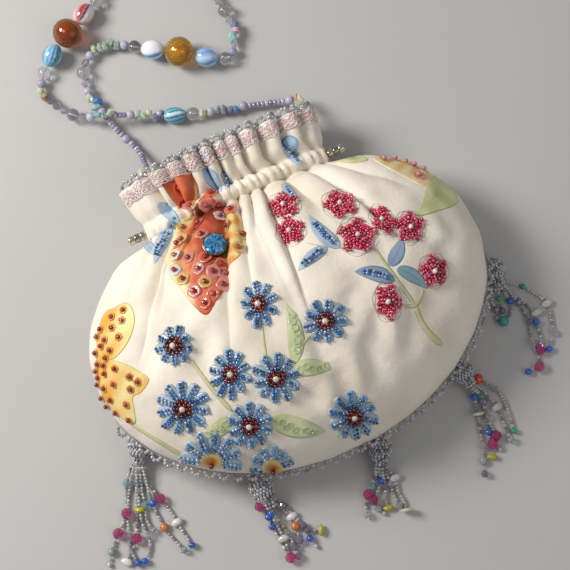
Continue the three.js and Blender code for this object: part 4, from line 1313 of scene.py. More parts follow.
class BAG_OT_leaf_beads(Operator):
    """Sew the rows of blue beads on the blue leaves"""
    bl_idname = "bag.leaf_beads"
    bl_label = "Leaf Beads"

    def execute(self, context):
        rng = np.random.default_rng(DRAWS["leaf beads"])
        settings = context.scene.bag_sewn
        seed = settings.seed / MM
        beads = []
        for *ends, _, bend, _, rows in LEAVES:
            line = bent_line(ends[:2], ends[2:], bend, 41)
            span = np.linalg.norm(line[-1] - line[0])
            count = max(int(span * 0.6 * PIXEL / (SEED_SHARE * seed)), 3)
            steps = np.linspace(8, 31, count).astype(int)
            heading, aside = np.gradient(line, axis=0)[steps], sideways(line)[steps]
            for row in range(rows):
                shift = (row - (rows - 1) / 2) * 3.2
                sway = np.sin(np.arange(count) * 1.1 + row)[:, None] * 0.6
                tint = vary(rng, count, settings.daisy, 0.8, 0.5)
                beads.append(sewn_beads(SEED, line[steps] + aside * (shift + sway), heading,
                                        SEED_SHARE * seed, seed, tint, PATCH_LIFT))
        batch_piece("leaf_beads", beads, "lined_seeds")
        return {"FINISHED"}


# Lace and picots

LACE_LOW = 68.2
LACE_HIGH = 74.2
# share of white in each row of thread, from the lowest row up
LACE_PALE = (0.8, 0.35, -0.15, 0.9, 0.2, 0.6)
LACE_LOOP = 0.95
LACE_PITCH = 1.6
LACE_STEPS = 11
PICOT_PITCH = 6.0
PICOT_RADIUS = 2.05
PICOT_ANGLES = np.radians((8.0, 50.0, 90.0, 130.0, 172.0))
SEAM_PICOT_TOP = -15.0
MOUTH_HALF = 46.8
MOUTH_STEPS = 400
EDGING_THREAD = 0.25


def lace_batches(side, rng):
    """A thin ground of net and rows of curled thread: each thread runs along the mouth while it circles."""
    settings = bpy.context.scene.bag_trim
    pink = np.array(settings.lace)
    span = section(np.array([LACE_LOW]))[0][0] * EDGE_SHARE
    columns, rows = 150, 5
    x, y = np.meshgrid(np.linspace(-span, span, columns), np.linspace(LACE_LOW, LACE_HIGH, rows))
    points, _ = off_cloth(x.ravel(), y.ravel(), 0.22, side)
    cloud = 0.5 + 0.5 * np.sin(2.3 * x + 1.7 * y) * np.sin(1.1 * x - 2.9 * y)
    tint = blend(pink + (1 - pink) * 0.55, pink, cloud).reshape(-1, 3)
    ground = points, [sheet_faces(rows, columns)[:, ::side]], tint
    threads = []
    loops = int(2 * span / LACE_PITCH)
    t = np.linspace(0.0, 1.0, loops * LACE_STEPS)
    for row, pale in enumerate(LACE_PALE):
        spin = 2 * np.pi * loops * t + rng.uniform(0.0, 6.0)
        wander = 0.5 * np.sin(9 * t + row) + 0.3 * np.sin(31 * t + 2 * row)
        middle = LACE_LOW + 0.6 + (LACE_HIGH - LACE_LOW - 1.2) * row / (len(LACE_PALE) - 1)
        curl = LACE_LOOP * (1 + 0.25 * np.sin(17 * t + row))
        x = np.clip((2 * t - 1) * span + curl * np.cos(spin), -span, span)
        y = middle + wander + curl * np.sin(spin)
        path, _ = off_cloth(x, y, 0.5 + 0.25 * np.sin(spin / 2), side)
        threads.append(tube(path, settings.thread / MM, pink + (1 - pink) * pale, sides=4))
    return ground, threads


class BAG_OT_lace(Operator):
    """Make the curled pink lace round the mouth"""
    bl_idname = "bag.lace"
    bl_label = "Lace"

    def execute(self, context):
        rng = np.random.default_rng(DRAWS["lace"])
        for name, side in (("front", 1), ("back", -1)):
            ground, threads = lace_batches(side, rng)
            batch_piece("lace_ground_" + name, [ground], "painted_silk", skin=0.15)
            curls = batch_piece("lace_threads_" + name, threads, "fine_thread")
            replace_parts(curls, "lace_" + name)
        return {"FINISHED"}


def path_length(path):
    """Distance of each point of a path from its first end."""
    return np.concatenate([[0.0], np.linalg.norm(np.diff(path, axis=0), axis=1).cumsum()])


def read_path(values, along, stops):
    """Values along a path, read between its points at the stops."""
    return np.stack([np.interp(stops, along, column) for column in values.T], axis=-1)


def spaced(path, pitch):
    """Points every pitch along a path, with the direction of the path there."""
    along = path_length(path)
    count = int(along[-1] // pitch)
    stops = (along[-1] - (count - 1) * pitch) / 2 + np.arange(count) * pitch
    points, ahead = (read_path(path, along, stops + step) for step in (0.0, 0.4))
    return points, unit(ahead - points + 1e-9)


def picots(path, outward, rng):
    """Little arches of five beads along an edge, standing outward, and the thread under them."""
    settings = bpy.context.scene.bag_trim
    points, along = spaced(path, PICOT_PITCH)
    out = unit(outward(along))
    batches = []
    for angle in PICOT_ANGLES:
        way = along * np.cos(angle) + out * np.sin(angle)
        centre = points + PICOT_RADIUS * way + 0.4 * out + rng.normal(0.0, 0.12, points.shape)
        tint = vary(rng, len(points), settings.clear, 0.45, 0.6)
        axis = np.cross(way, np.cross(along, out))
        batches.append(set_beads(SEED, centre, axis, 1.35, settings.picot / MM, tint))
    return batches, tube(path, EDGING_THREAD, shade("b9b7bd"))


def seam_path():
    """The pouch's bottom seam: down the left edge, along the chin and up the right edge."""
    y = SEAM_PICOT_TOP + (-SEAM_END - SEAM_PICOT_TOP) * np.sin(np.linspace(0.0, 0.5 * np.pi, 90))
    half = section(y)[0] + 0.5
    left = np.stack([-half, y], axis=1)
    right = np.stack([half[::-1], y[::-1]], axis=1)
    plan = np.vstack([left, right])
    return np.column_stack([plan, seam_height(plan[:, 1])])


class BAG_OT_picots(Operator):
    """Make the clear bead edging of the mouth and of the bottom seam"""
    bl_idname = "bag.picots"
    bl_label = "Bead Edging"

    def execute(self, context):
        rng = np.random.default_rng(DRAWS["edging"])
        x = np.linspace(-MOUTH_HALF, MOUTH_HALF, MOUTH_STEPS)
        for name, side in (("front", 1), ("back", -1)):
            path = cloth(x, np.full(MOUTH_STEPS, MOUTH_EDGE), side)[0] + (0.0, 0.4, -0.5 * side)
            beads, thread = picots(path, lambda along: np.full(along.shape, (0.0, 0.94, 0.34 * side)), rng)
            piece = batch_piece("mouth_edging_" + name, beads, "clear_seeds")
            batch_piece("mouth_edging_thread_" + name, [thread], "fine_thread")
            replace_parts(piece, "mouth_picots_" + name)
        beads, thread = picots(
            seam_path(), lambda along: np.cross(along, (0.0, 0.0, 1.0)) - (0.0, 0.0, 0.15), rng)
        piece = batch_piece("seam_edging", beads, "clear_seeds")
        batch_piece("seam_edging_thread", [thread], "fine_thread")
        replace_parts(piece, "seam_picots")
        return {"FINISHED"}


# Drawstring beads and rhinestone

STRING_BEAD_RADIUS = 2.0
STONE_PLACE = np.array([-19.7, 30.9])
CUP_RADIUS = 5.2
CUP_HEIGHT = 2.3
CUP_LIFT = 0.35
STONE_SIDES = 16
STONE_UPRIGHT = 0.5
# radius at the even and odd corners of the stone's rings, then height there
STONE_RINGS = np.array([
    (4.7, 4.7, 1.9, 1.9), (4.5, 4.5, 2.6, 2.4), (3.1, 3.6, 3.5, 3.2), (2.3, 1.5, 3.75, 3.95),
])
CLAW_REACH = 4.85
# place and radius along the cup's wall, as shares of its height and radius
CUP_WALL = ((-0.5, 0.9), (-0.46, 0.98), (0.36, 1.0), (0.46, 0.985), (0.5, 0.93))


class BAG_OT_drawstring_beads(Operator):
    """Make the metal beads on the ends of the drawstring"""
    bl_idname = "bag.drawstring_beads"
    bl_label = "Drawstring Beads"

    def execute(self, context):
        metal = np.array(context.scene.bag_trim.metal)
        tints = metal * np.array([[1.0], [0.7], [1.15]])
        for name, side in (("left", -1.0), ("right", 1.0)):
            low, high = (np.array(corner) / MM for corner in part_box("drawstring_beads_" + name))
            step = (high[0] - low[0]) / len(tints)
            centres = np.tile((low + high) / 2, (len(tints), 1))
            centres[:, 0] += side * step * np.array([-1.0, 0.0, 1.0])
            beads = set_beads(RING_BEAD, centres, (1.0, 0.0, 0.0), 0.97 * step, STRING_BEAD_RADIUS, tints)
            cord = tube([centres[0] - (side * 3.0, 0, 0), centres[-1] + (side * 1.4, 0, 0)], 0.5, metal * 0.9)
            piece = batch_piece("string_beads_" + name, [beads, cord], "antique_metal")
            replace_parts(piece, "drawstring_beads_" + name)
        return {"FINISHED"}


def stone_seat():
    """Middle of the cup's foot and the cup's axis: the cloth's mean normal, turned partly upright."""
    near = STONE_PLACE + 4.0 * compass(turns(8))
    places, normals = off_cloth(near[:, 0], near[:, 1])
    slope = unit(normals.mean(axis=0))
    normal = unit(slope * (1 - STONE_UPRIGHT) + np.array([0.0, 0.0, STONE_UPRIGHT]))
    tilt = np.sqrt(1 - (slope @ normal) ** 2)
    return places.mean(axis=0) + normal * (0.2 + CUP_RADIUS * tilt + CUP_LIFT), normal


def stone_facets(place, normal, blue, rng):
    """Loose flat facets between rings whose even and odd corners differ, each a random lighter or darker blue
    as painted reflections, every third paled towards cyan as a painted highlight.
    """
    at_odd = np.arange(STONE_SIDES) % 2
    far, high = (np.where(at_odd, STONE_RINGS[:, odd, None], STONE_RINGS[:, odd - 1, None])
                 for odd in (1, 3))
    ring = around(*square_to(normal, DISC_UP), turns(STONE_SIDES))
    points = place + high[..., None] * normal + far[..., None] * ring
    points = np.vstack([points.reshape(-1, 3), place + normal * 0.9, place + normal * 3.9])
    quads = sheet_faces(len(STONE_RINGS), STONE_SIDES, wrap=True)
    corners = np.vstack([quads[:, [0, 1, 2]], quads[:, [0, 2, 3]], end_caps(len(STONE_RINGS), STONE_SIDES)])
    # painted reflections: each facet a random lighter or darker blue
    tint = vary(rng, len(corners), blue, 0.75, 0.15)
    # painted highlights: every third facet paled towards cyan
    tint[::3] += (1 - tint[::3]) * (0.02, 0.3, 0.4)
    return points[corners.ravel()], [np.arange(corners.size).reshape(-1, 3)], np.repeat(tint, 3, axis=0)


class BAG_OT_rhinestone(Operator):
    """Make the cut blue stone and its cup on the orange flower"""
    bl_idname = "bag.rhinestone"
    bl_label = "Rhinestone"

    def execute(self, context):
        rng = np.random.default_rng(DRAWS["stone"])
        settings = context.scene.bag_trim
        metal = np.array(settings.metal)
        place, normal = stone_seat()
        cup = set_beads(lathe_template(CUP_WALL, 40, dimple=0.3), place + normal * CUP_HEIGHT / 2, normal,
                        CUP_HEIGHT, CUP_RADIUS, metal * 0.4)
        claws = place + normal * CUP_HEIGHT + CLAW_REACH * around(*square_to(normal, DISC_UP), turns(8))
        claws = set_beads(SEED, claws, normal, 0.9, 0.4, metal * 0.6)
        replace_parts(batch_piece("stone_cup", [cup, claws], "antique_metal"), "rhinestone_cup")
        facets = stone_facets(place, normal, settings.stone, rng)
        stone = batch_piece("blue_stone", [facets], "cut_blue_glass", smooth=False)
        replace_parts(stone, "rhinestone")
        return {"FINISHED"}


# Tassels

CAP_BEAD = 0.78
CAP_RADIUS = 4.7
CAP_HEIGHT = 5.7
# length of each cap against its width
CAP_STRETCH = (1.0, 1.35, 1.35, 1.1, 1.0)
STRAND_SEED = 0.78
STRAND_PITCH = 1.5
STRAND_ROOT = 4.6
STRAND_FALL = 0.42
STRAND_STEPS = 24
STRAND_THREAD = 0.22
FIRST_SEED = 4.5
CHARM_GAP = 0.45
# cap's pixel, then the strands: each a run of pixels x, y from the cap outward, some with a bead
TASSELS = (
    ((139.8, 447.5), (
        ((132.6, 463.5), (127, 482.6, "T"), (126.6, 513, "M"), (118, 533.7, "M"), (112, 552, "N"),
         (109.5, 565, "s")),
        ((135.8, 466.7), (137, 482.6, "T"), (140, 509.7, "Y"), (142, 522.5), (148.6, 536, "C"), (150, 549),
         (145, 561, "B")),
        ((143.8, 465), (146, 480, "T"), (160.5, 498.6, "M"), (171, 512), (177, 522.5, "W"), (184, 533),
         (192, 545, "B")),
        ((143, 468), (152.6, 503.4, "B"), (164.5, 527.3, "O"), (175.7, 541.6), (184, 550, "C")),
        ((134, 467), (129.4, 490.6), (127.8, 519), (130, 537, "C"), (131, 550), (138, 563, "B")),
        ((137, 468), (136.6, 500), (136.6, 538.5, "M"), (131, 552), (127, 562, "W")),
        ((140, 468), (142, 490), (145, 505, "T"), (147, 520), (153, 530, "C")),
    )),
    ((261.8, 489), (
        ((262, 500), (259.5, 506.6, "M"), (268, 517, "B"), (272, 527, "B"), (280, 540), (284, 548, "s")),
        ((267, 503), (271, 514, "B"), (284, 538.5, "W"), (290.5, 557.6, "M")),
        ((270, 500), (282, 505, "V"), (292, 516, "W"), (295.3, 526.5, "O"), (300, 541, "V"),
         (298.5, 556, "V")),
        ((272, 496), (285, 507, "V"), (303, 525, "V"), (309.7, 538.5, "B"), (316, 546, "s")),
        ((272, 500), (293, 518), (308, 530, "V"), (321, 530, "Y")),
        ((268, 505), (278, 520, "C"), (288, 533, "C"), (295, 547, "V")),
    )),
    ((380, 448), (
        ((376, 466), (375, 477, "V"), (368, 494.6, "M"), (366, 506), (366.8, 515, "C")),
        ((379, 468), (381, 481, "B"), (376, 497), (378.4, 509, "C")),
        ((382, 468), (385, 486, "V"), (386, 498), (388, 508, "Y")),
        ((385, 465), (395, 478, "W"), (398, 491), (404, 501), (406, 510, "D")),
        ((384, 467), (391, 484, "C"), (394, 496), (399, 505, "C")),
        ((378, 468), (372, 486, "T"), (373, 500, "M"), (384, 513, "s")),
    )),
    ((461.4, 371.4), (
        ((470, 378), (478, 379, "R"), (494.5, 389, "C"), (503, 398), (509, 414), (514, 431, "G")),
        ((472, 382), (483, 391), (497, 407, "W"), (504, 424), (511, 440, "C")),
        ((470, 386), (474, 397, "B"), (477.5, 414, "D"), (480, 430), (482, 446, "C"), (483, 461, "N"),
         (484.6, 474, "V")),
        ((473, 386), (484, 402, "V"), (488, 432, "B"), (492, 444, "M"), (491.8, 457, "Y")),
        ((472, 388), (480, 396, "G"), (487, 417, "C"), (496, 436, "M"), (500, 449, "s")),
    )),
    ((493.6, 269.6), (
        ((503, 280), (522, 286.6, "G"), (540, 297), (547, 303.6, "W"), (551, 318), (552.5, 332, "C"),
         (549, 349, "B")),
        ((502, 284), (516, 296), (530, 308), (536.4, 313, "W"), (536, 322, "B"), (541, 338),
         (540, 350, "M")),
        ((500, 286), (509.6, 301, "B"), (511, 313), (503, 322, "K")),
        ((498, 286), (499, 299, "G"), (502, 311, "V"), (497, 318, "s")),
        ((503, 283), (518, 303, "V"), (529, 322, "V"), (532, 342, "C"), (538, 356), (539, 367, "M"),
         (528, 372, "B")),
        ((496, 286), (492, 300), (496, 310, "V")),
    )),
)
# length, radius, second radius, template, finish, colour
CHARMS = {
    "T": (3.6, 1.75, 1.75, FACETED, "facet", "c8eef8"), "M": (4.6, 2.25, 2.25, FACETED, "facet", "ee62ac"),
    "B": (3.1, 1.6, 1.6, BALL, "gloss", "2d62c4"), "Y": (2.4, 2.6, 1.4, CHIP, "stone", "c9bf3e"),
    "O": (3.8, 2.0, 1.4, CHIP, "stone", "df8540"), "R": (4.2, 2.5, 1.9, CHIP, "stone", "d5482a"),
    "N": (3.8, 1.8, 1.5, CHIP, "stone", "9aa8a4"), "W": (3.2, 2.9, 1.2, CHIP, "stone", "e4e2dd"),
    "C": (3.5, 1.8, 1.8, CRYSTAL, "facet", "efedf4"), "V": (3.1, 1.6, 1.6, FACETED, "facet", "c4b2d4"),
    "G": (2.7, 1.4, 1.4, BALL, "gloss", "2f9a83"), "D": (1.9, 3.0, 3.0, BALL, "stone", "e8e0c6"),
    "K": (4.8, 2.4, 2.4, BALL, "stone", "3f9fa0"), "s": (2.0, 1.0, 1.0, SEED, "gloss", "c9c4cc"),
}
CHARM_FINISHES = {"facet": "cut_glass", "gloss": "gloss_glass", "stone": "tumbled_stone"}


def cap_batches(ball, way, stretch, rng):
    """A netted ball: rings of seed beads about its axis, which narrow to a collar by the strands."""
    axis = unit(6.0 * way - (0.0, 0.0, 2.0))
    side, third = square_to(axis, (0.0, 0.0, -1.0))
    rings = [(CAP_RADIUS * np.sin(a), -CAP_RADIUS * stretch * np.cos(a)) for a in np.linspace(0.3, 2.6, 12)]
    rings += [(2.3, 4.9 * stretch), (2.0, 6.2 * stretch)]
    batches = []
    for k, (far, along) in enumerate(rings):
        count = max(int(2 * np.pi * far / (1.9 * CAP_BEAD)), 5)
        round_way = around(side, third, turns(count) + (k % 2) * np.pi / count)
        bend = smooth_step((along - 3.0) / 5.0)
        middle = ball + axis * along * (1 - bend) + bend * (way * along + (0.0, 0.0, -0.16 * along))
        # the tints spread from dark to nearly white: partly the beads' own uneven glass, partly painted
        # glints and painted shade
        tint = vary(rng, count, bpy.context.scene.bag_trim.clear, 0.7, 0.8)
        along_ring = np.cross(axis, round_way)
        batches.append(set_beads(SEED, middle + far * round_way, along_ring, 1.3, CAP_BEAD, tint))
    return batches


def strand_batches(ball, strand, rng, found):
    """One strand: a smooth line from the collar down to the floor, with seeds and charms along it."""
    pixels = np.array([point[:2] for point in strand])
    height = np.maximum(STRAND_ROOT - STRAND_FALL * PIXEL * path_length(pixels), STRAND_SEED + 0.1)
    corners = np.vstack([ball + (0.0, 0.0, -0.6), on_level(pixels, height)])
    path = smooth_line(corners, STRAND_STEPS * len(corners))
    path[:, 2] = np.maximum(path[:, 2], STRAND_SEED)
    along = path_length(path)
    heading = unit(np.gradient(path, axis=0))
    last = along[-1]
    taken = [(0.0, 0.0)]
    for point, corner in zip(strand, corners[1:]):
        if len(point) == 2:
            continue
        near = np.linalg.norm(path - corner, axis=1).argmin()
        long, wide, thick, template, kind, code = CHARMS[point[2]]
        centre = path[near].copy()
        centre[2] = max(centre[2], (wide if kind != "stone" else max(thick, 1.3)) + 0.05)
        tint = np.clip(shade(code) * rng.uniform(0.85, 1.15), 0.0, 1.0)
        found[kind].append(set_beads(template, centre, heading[near], long, wide, tint, second=thick))
        last = along[near]
        taken.append((last, long / 2 + CHARM_GAP))
    stops, reaches = np.array(taken).T
    seeds = np.arange(FIRST_SEED, last, STRAND_PITCH)
    seeds = seeds[(np.abs(seeds[:, None] - stops) > reaches).all(axis=1)]
    tint = vary(rng, len(seeds), bpy.context.scene.bag_trim.clear, 0.6, 0.5) * (1.0, 0.97, 0.92)
    found["seeds"].append(set_beads(SEED, read_path(path, along, seeds), read_path(heading, along, seeds),
                                    1.4, STRAND_SEED, tint))
    found["thread"].append(tube(path[along <= last + 0.3], STRAND_THREAD, shade("a9a39c"), sides=4))


class BAG_OT_tassels(Operator):
    """Make the five tassels: netted bead caps and strands of seeds, cut glass and stone"""
    bl_idname = "bag.tassels"
    bl_label = "Tassels"

    def execute(self, context):
        rng = np.random.default_rng(DRAWS["tassels"])
        for number, ((cap_pixel, strands), stretch) in enumerate(zip(TASSELS, CAP_STRETCH), start=1):
            name = f"tassel_{number}_"
            ball = on_level(cap_pixel, CAP_HEIGHT)[0]
            first = on_level([strand[0][:2] for strand in strands], CAP_HEIGHT).mean(axis=0)
            way = unit(first - ball)
            net = cap_batches(ball, way, stretch, rng)
            cap = batch_piece(name + "net", net, "clear_seeds")
            found = {kind: [] for kind in ("seeds", "thread", *CHARM_FINISHES)}
            found["thread"].append(set_beads(BALL, ball, way, 8.2 * stretch, 4.1, shade("a8a4a6")))
            for strand in strands:
                strand_batches(ball, strand, rng, found)
            string = batch_piece(name + "seeds", found["seeds"], "clear_seeds")
            batch_piece(name + "thread", found["thread"], "fine_thread")
            for kind, look in CHARM_FINISHES.items():
                if found[kind]:
                    batch_piece(name + kind, found[kind], look, smooth=kind != "facet")
            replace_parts(cap, name + "cap")
            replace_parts(string, name + "strands")
        return {"FINISHED"}


# Strap

STRAP_ROUTE = np.array([
    (42.2, 63.5, 18), (41.4, 72, 16.4), (43.6, 80.5, 11.8), (43, 86.2, 6.5), (36.5, 89.2, 3.8),
    (26, 92.7, 3.2), (15.7, 96, 3.2), (5, 98.4, 3.2), (-9.6, 103.4, 3.2), (-22, 108.8, 4.2),
    (-30, 111.6, 6.6), (-37, 114, 8.6), (-44, 117, 6.6), (-50.5, 121.2, 4.2), (-56, 128, 3.2),
    (-59.3, 136, 3.2), (-58.8, 143.5, 3.2), (-50, 152, 5), (-39.7, 157.9, 7), (-29.4, 164.2, 5),
    (-18.5, 170.5, 3.2), (-6, 182, 3.2), (2, 196, 3.2), (6, 214, 3.2), (8, 236, 4.6), (14, 262, 7),
    (24, 283, 4.6), (41, 297, 3.2), (62, 300, 3.2), (80, 290, 3.2), (87, 271, 4.6), (83, 250, 7),
    (73, 228, 4.6), (61, 208, 3.2), (49, 188, 3.2), (38, 170, 3.2), (30.5, 154, 3.2), (31.4, 140, 3.2),
    (31, 128, 3.2), (26, 119.6, 3.2), (18.6, 119.6, 4.4), (4.5, 128.7, 7), (-9, 137.4, 4.8),
    (-19, 144.8, 3.2), (-29, 147.2, 3.2), (-37.8, 142.8, 3.2), (-41.2, 134, 3.2), (-40.4, 124, 3.2),
    (-38.2, 113.6, 3.2), (-35.2, 104.5, 3.2), (-31.6, 95.5, 3.2), (-31.4, 87.4, 7), (-35, 79.6, 13),
    (-39.6, 72, 16.5), (-42.2, 63.5, 18),
])
STRAP_STEPS = 2401
STRAP_GAP = 0.3
STRAP_THREAD = 0.25
BUBBLES = 26
# kind, middle along the route, pattern
LARGE_BEADS = (
    ("barrel", 82.9, "sky"), ("oval", 167, "sea"), ("round", 179.5, "brown"), ("oval", 192, "rose"),
    ("oval", 292.8, "milk"), ("round", 305.3, "honey"), ("oval", 317.8, "sea"), ("oval", 422.9, "rose"),
    ("round", 435.4, "brown"), ("oval", 447.9, "sky"), ("oval", 593.8, "cloud"), ("round", 606.3, "honey"),
    ("oval", 618.8, "milk"),
)
# length, radius, fullness of the profile
LARGE_SIZES = {"round": (13.2, 7.0, 0.5), "oval": (11.2, 4.5, 0.47), "barrel": (10.0, 3.7, 0.32)}
# base colour, twist along the bead in turns, then bands of (place round the bead in degrees, width, colour)
STRIPES = {
    "sky": ("86cbe6", 0.05, ((60, 7, "14508c"), (85, 10, "f0f7f8"), (104, 6, "14508c"), (140, 16, "2f9c96"),
                             (20, 16, "3a86c8"), (230, 40, "1f6fa8"))),
    "sea": ("9fd0ee", 0.05, ((28, 9, "2b6cb4"), (48, 5, "16417c"), (84, 6, "5b9fd8"), (112, 6, "2f6fc0"),
                             (134, 5, "123e78"), (152, 12, "2a9a88"), (250, 50, "2a78b4"))),
    "rose": ("f6e8e8", 0.05, ((46, 20, "e3989a"), (78, 20, "b8323a"), (105, 9, "2c2348"), (172, 12, "eab4b4"),
                              (260, 60, "d9646a"))),
    "milk": ("f4f8fb", 0.05, ((168, 26, "2c50b0"), (22, 16, "3a94da"), (290, 60, "86bfec"))),
    "cloud": ("a9c8f0", 0.10, ((168, 22, "3f6cc0"), (110, 14, "7fa8e6"), (70, 12, "cfe2f8"),
                               (28, 12, "5a9fe0"), (290, 50, "7fb6e6"))),
}
# small beads of each stretch between the large ones, in order
STRETCHES = (
    "ssssssssssGYApssssssssspBDDNpYg", "DDYGNpsssGbTpbgbvvAGpg", "gpDTbsssssspGYNpgbABpsssspWGbg",
    "gpGNYpsssssspTDpgvpABbgpGWps", "gpYGbsssspNDTpgvABpsssssspGYpbgbgbDPTbpg",
    "gpNNGNGpvgbpGBTpssssssspsssssssspGPYsssssssss",
)
CHIP_COLOURS = {"G": "c3d9b2", "Y": "ece4c6", "A": "d8bd92", "B": "6b94d8", "D": "a0a4c0", "N": "b7cac3",
                "T": "a8d8d8", "W": "ecebe6", "P": "dfaebf"}
# length and radius of the small beads; the seeds' radius is a setting and the chips' is random
SMALL_BEADS = {"s": (1.9, None), "p": (4.4, 2.2), "g": (6.2, 3.1), "b": (4.2, 1.9), "v": (4.2, 1.9),
               "chip": (2.7, None)}
# flat cuts on each stone chip, and their distance from its middle
CHIP_CUTS = 7
CHIP_REACH = 2.0
STRAP_NODES = ("1a", "1b", "2a", "2b", "3a", "3b", "4a", "4b", "5a", "5b", "5c", "6a", "6b", "6c")


def strap_route():
    """Points of the strap's smooth route, and their distances from its first end."""
    path = smooth_line(STRAP_ROUTE, STRAP_STEPS)
    return path, path_length(path)


def on_strap(stops):
    """Points and directions at distances along the strap."""
    points, ahead, behind = (read_path(*strap_route(), stops + step) for step in (0.0, 0.5, -0.5))
    return points, unit(ahead - behind)


def striped_bead(centre, axis, kind, look):
    """A fine-grained bead whose tint changes round it in bands that twist along it."""
    long, wide, fullness = LARGE_SIZES[kind]
    template = lathe_template(round_profile(26, fullness), 48)
    shape = template[0]
    base, twist, bands = STRIPES[look]
    angle = np.degrees(np.arctan2(shape[:, 1], shape[:, 0])) + 360 * twist * shape[:, 2] * 2
    tint = np.tile(shade(base), (len(shape), 1))
    for place, width, code in bands:
        gap = (angle - place + 180) % 360 - 180
        pole = np.clip(np.abs(shape[:, 2]) * 2, 0, 1)
        tint = toward(tint, code, np.exp(-(gap / width) ** 4) * (1 - pole ** 8))
    points, faces, _ = set_beads(template, centre, axis, long, wide, (1.0, 1.0, 1.0))
    return points, faces, tint


def amber_bead(centre, axis, amber, rng):
    """A glass shell, and in it a cloudy heart with bubbles scattered near the shell."""
    long, wide, _ = LARGE_SIZES["round"]
    ball = lathe_template(ball_profile(22), 40)
    shell = set_beads(ball, centre, axis, long, wide, np.clip(amber * 1.25 + 0.05, 0, 1))
    points, faces, _ = set_beads(ball, centre, axis, long * 0.5, wide * 0.5, amber)
    heart = points, faces, blend(amber, amber * 0.5, rng.uniform(0.0, 1.0, len(points)) ** 2)
    way = unit(rng.normal(0.0, 1.0, (BUBBLES, 3)))
    places = centre + way * wide * rng.uniform(0.62, 0.9, (BUBBLES, 1))
    bubbles = set_beads(SEED, places, way, 0.5, rng.uniform(0.25, 0.5, BUBBLES), amber + (1 - amber) * 0.75)
    return shell, [heart, bubbles]


class BAG_OT_strap_beads(Operator):
    """Make the large striped and amber beads of the strap"""
    bl_idname = "bag.strap_beads"
    bl_label = "Large Strap Beads"

    def execute(self, context):
        rng = np.random.default_rng(DRAWS["large beads"])
        counts = {"round": 0, "oval": 0, "barrel": 0}
        for kind, middle, look in LARGE_BEADS:
            counts[kind] += 1
            number = f"{kind}_{counts[kind]}"
            centre, axis = on_strap(np.array([middle]))
            if kind == "round":
                amber = np.array(getattr(context.scene.bag_strap, look))
                shell, heart = amber_bead(centre, axis, amber, rng)
                piece = batch_piece(f"strap_amber_{counts[kind]}", [shell], "amber_shell")
                batch_piece(f"strap_amber_heart_{counts[kind]}", heart, "amber_flecks")
            else:
                bead = striped_bead(centre, axis, kind, look)
                piece = batch_piece("strap_glass_" + number, [bead], "lampwork_glass")
            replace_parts(piece, "strap_" + number)
        return {"FINISHED"}


def small_beads(whole):
    """Letters, places along the route and stretch of the small beads, which fill the gaps."""
    halves = [LARGE_SIZES[kind][0] / 2 for kind, _, _ in LARGE_BEADS]
    middles = [middle for _, middle, _ in LARGE_BEADS]
    starts = np.concatenate([[0.0], np.add(middles, halves)])
    ends = np.concatenate([np.subtract(middles, halves), [whole]])
    wide = ends - starts > 1.0
    stops, scales = [], []
    for start, end, letters in zip(starts[wide], ends[wide], STRETCHES):
        long = np.array([SMALL_BEADS.get(letter, SMALL_BEADS["chip"])[0] for letter in letters])
        scale = (end - start - 2 * STRAP_GAP) / long.sum()
        stops.append(start + STRAP_GAP + (long.cumsum() - long / 2) * scale)
        scales.append(np.full(len(long), scale))
    return np.array(list("".join(STRETCHES))), np.concatenate(stops), np.concatenate(scales)


def stone_chips(letters, centres, axes, rng):
    """Chips that lean off the thread: a turned shape made uneven by waves, then cut flat by random planes."""
    count = len(letters)
    tint = np.array([shade(CHIP_COLOURS[letter]) for letter in letters]) * rng.uniform(0.85, 1.12, (count, 1))
    turn = rng.uniform(0.0, 2 * np.pi, count)[:, None]
    level = unit(np.cross(axes, (0.0, 0.0, 1.0)))
    lean = np.cos(turn) * level + 0.55 * np.abs(np.sin(turn)) * (0.0, 0.0, 1.0)
    centres = centres + 1.1 * lean
    axes = unit(axes + 0.35 * rng.normal(0.0, 1.0, (count, 3)))
    long, wide = 3.1 * rng.uniform(0.9, 1.25, count), rng.uniform(2.5, 3.5, count)
    points, faces, tints = set_beads(CHIP, centres, axes, long, wide, np.clip(tint, 0, 1),
                                     second=rng.uniform(1.6, 2.2, count), up=unit(lean + 1e-6))
    corners = len(CHIP[0])
    middle = np.repeat(centres, corners, axis=0)
    points = (points - middle) * (1 + 0.24 * np.sin(2.1 * points + 0.7 * points[:, [1, 2, 0]]))
    for _ in range(CHIP_CUTS):
        cut = np.repeat(unit(rng.normal(0.0, 1.0, (count, 3))), corners, axis=0)
        beyond = (points * cut).sum(axis=1) - CHIP_REACH
        points = points - cut * np.maximum(beyond, 0.0)[:, None]
    return middle + points, faces, tints


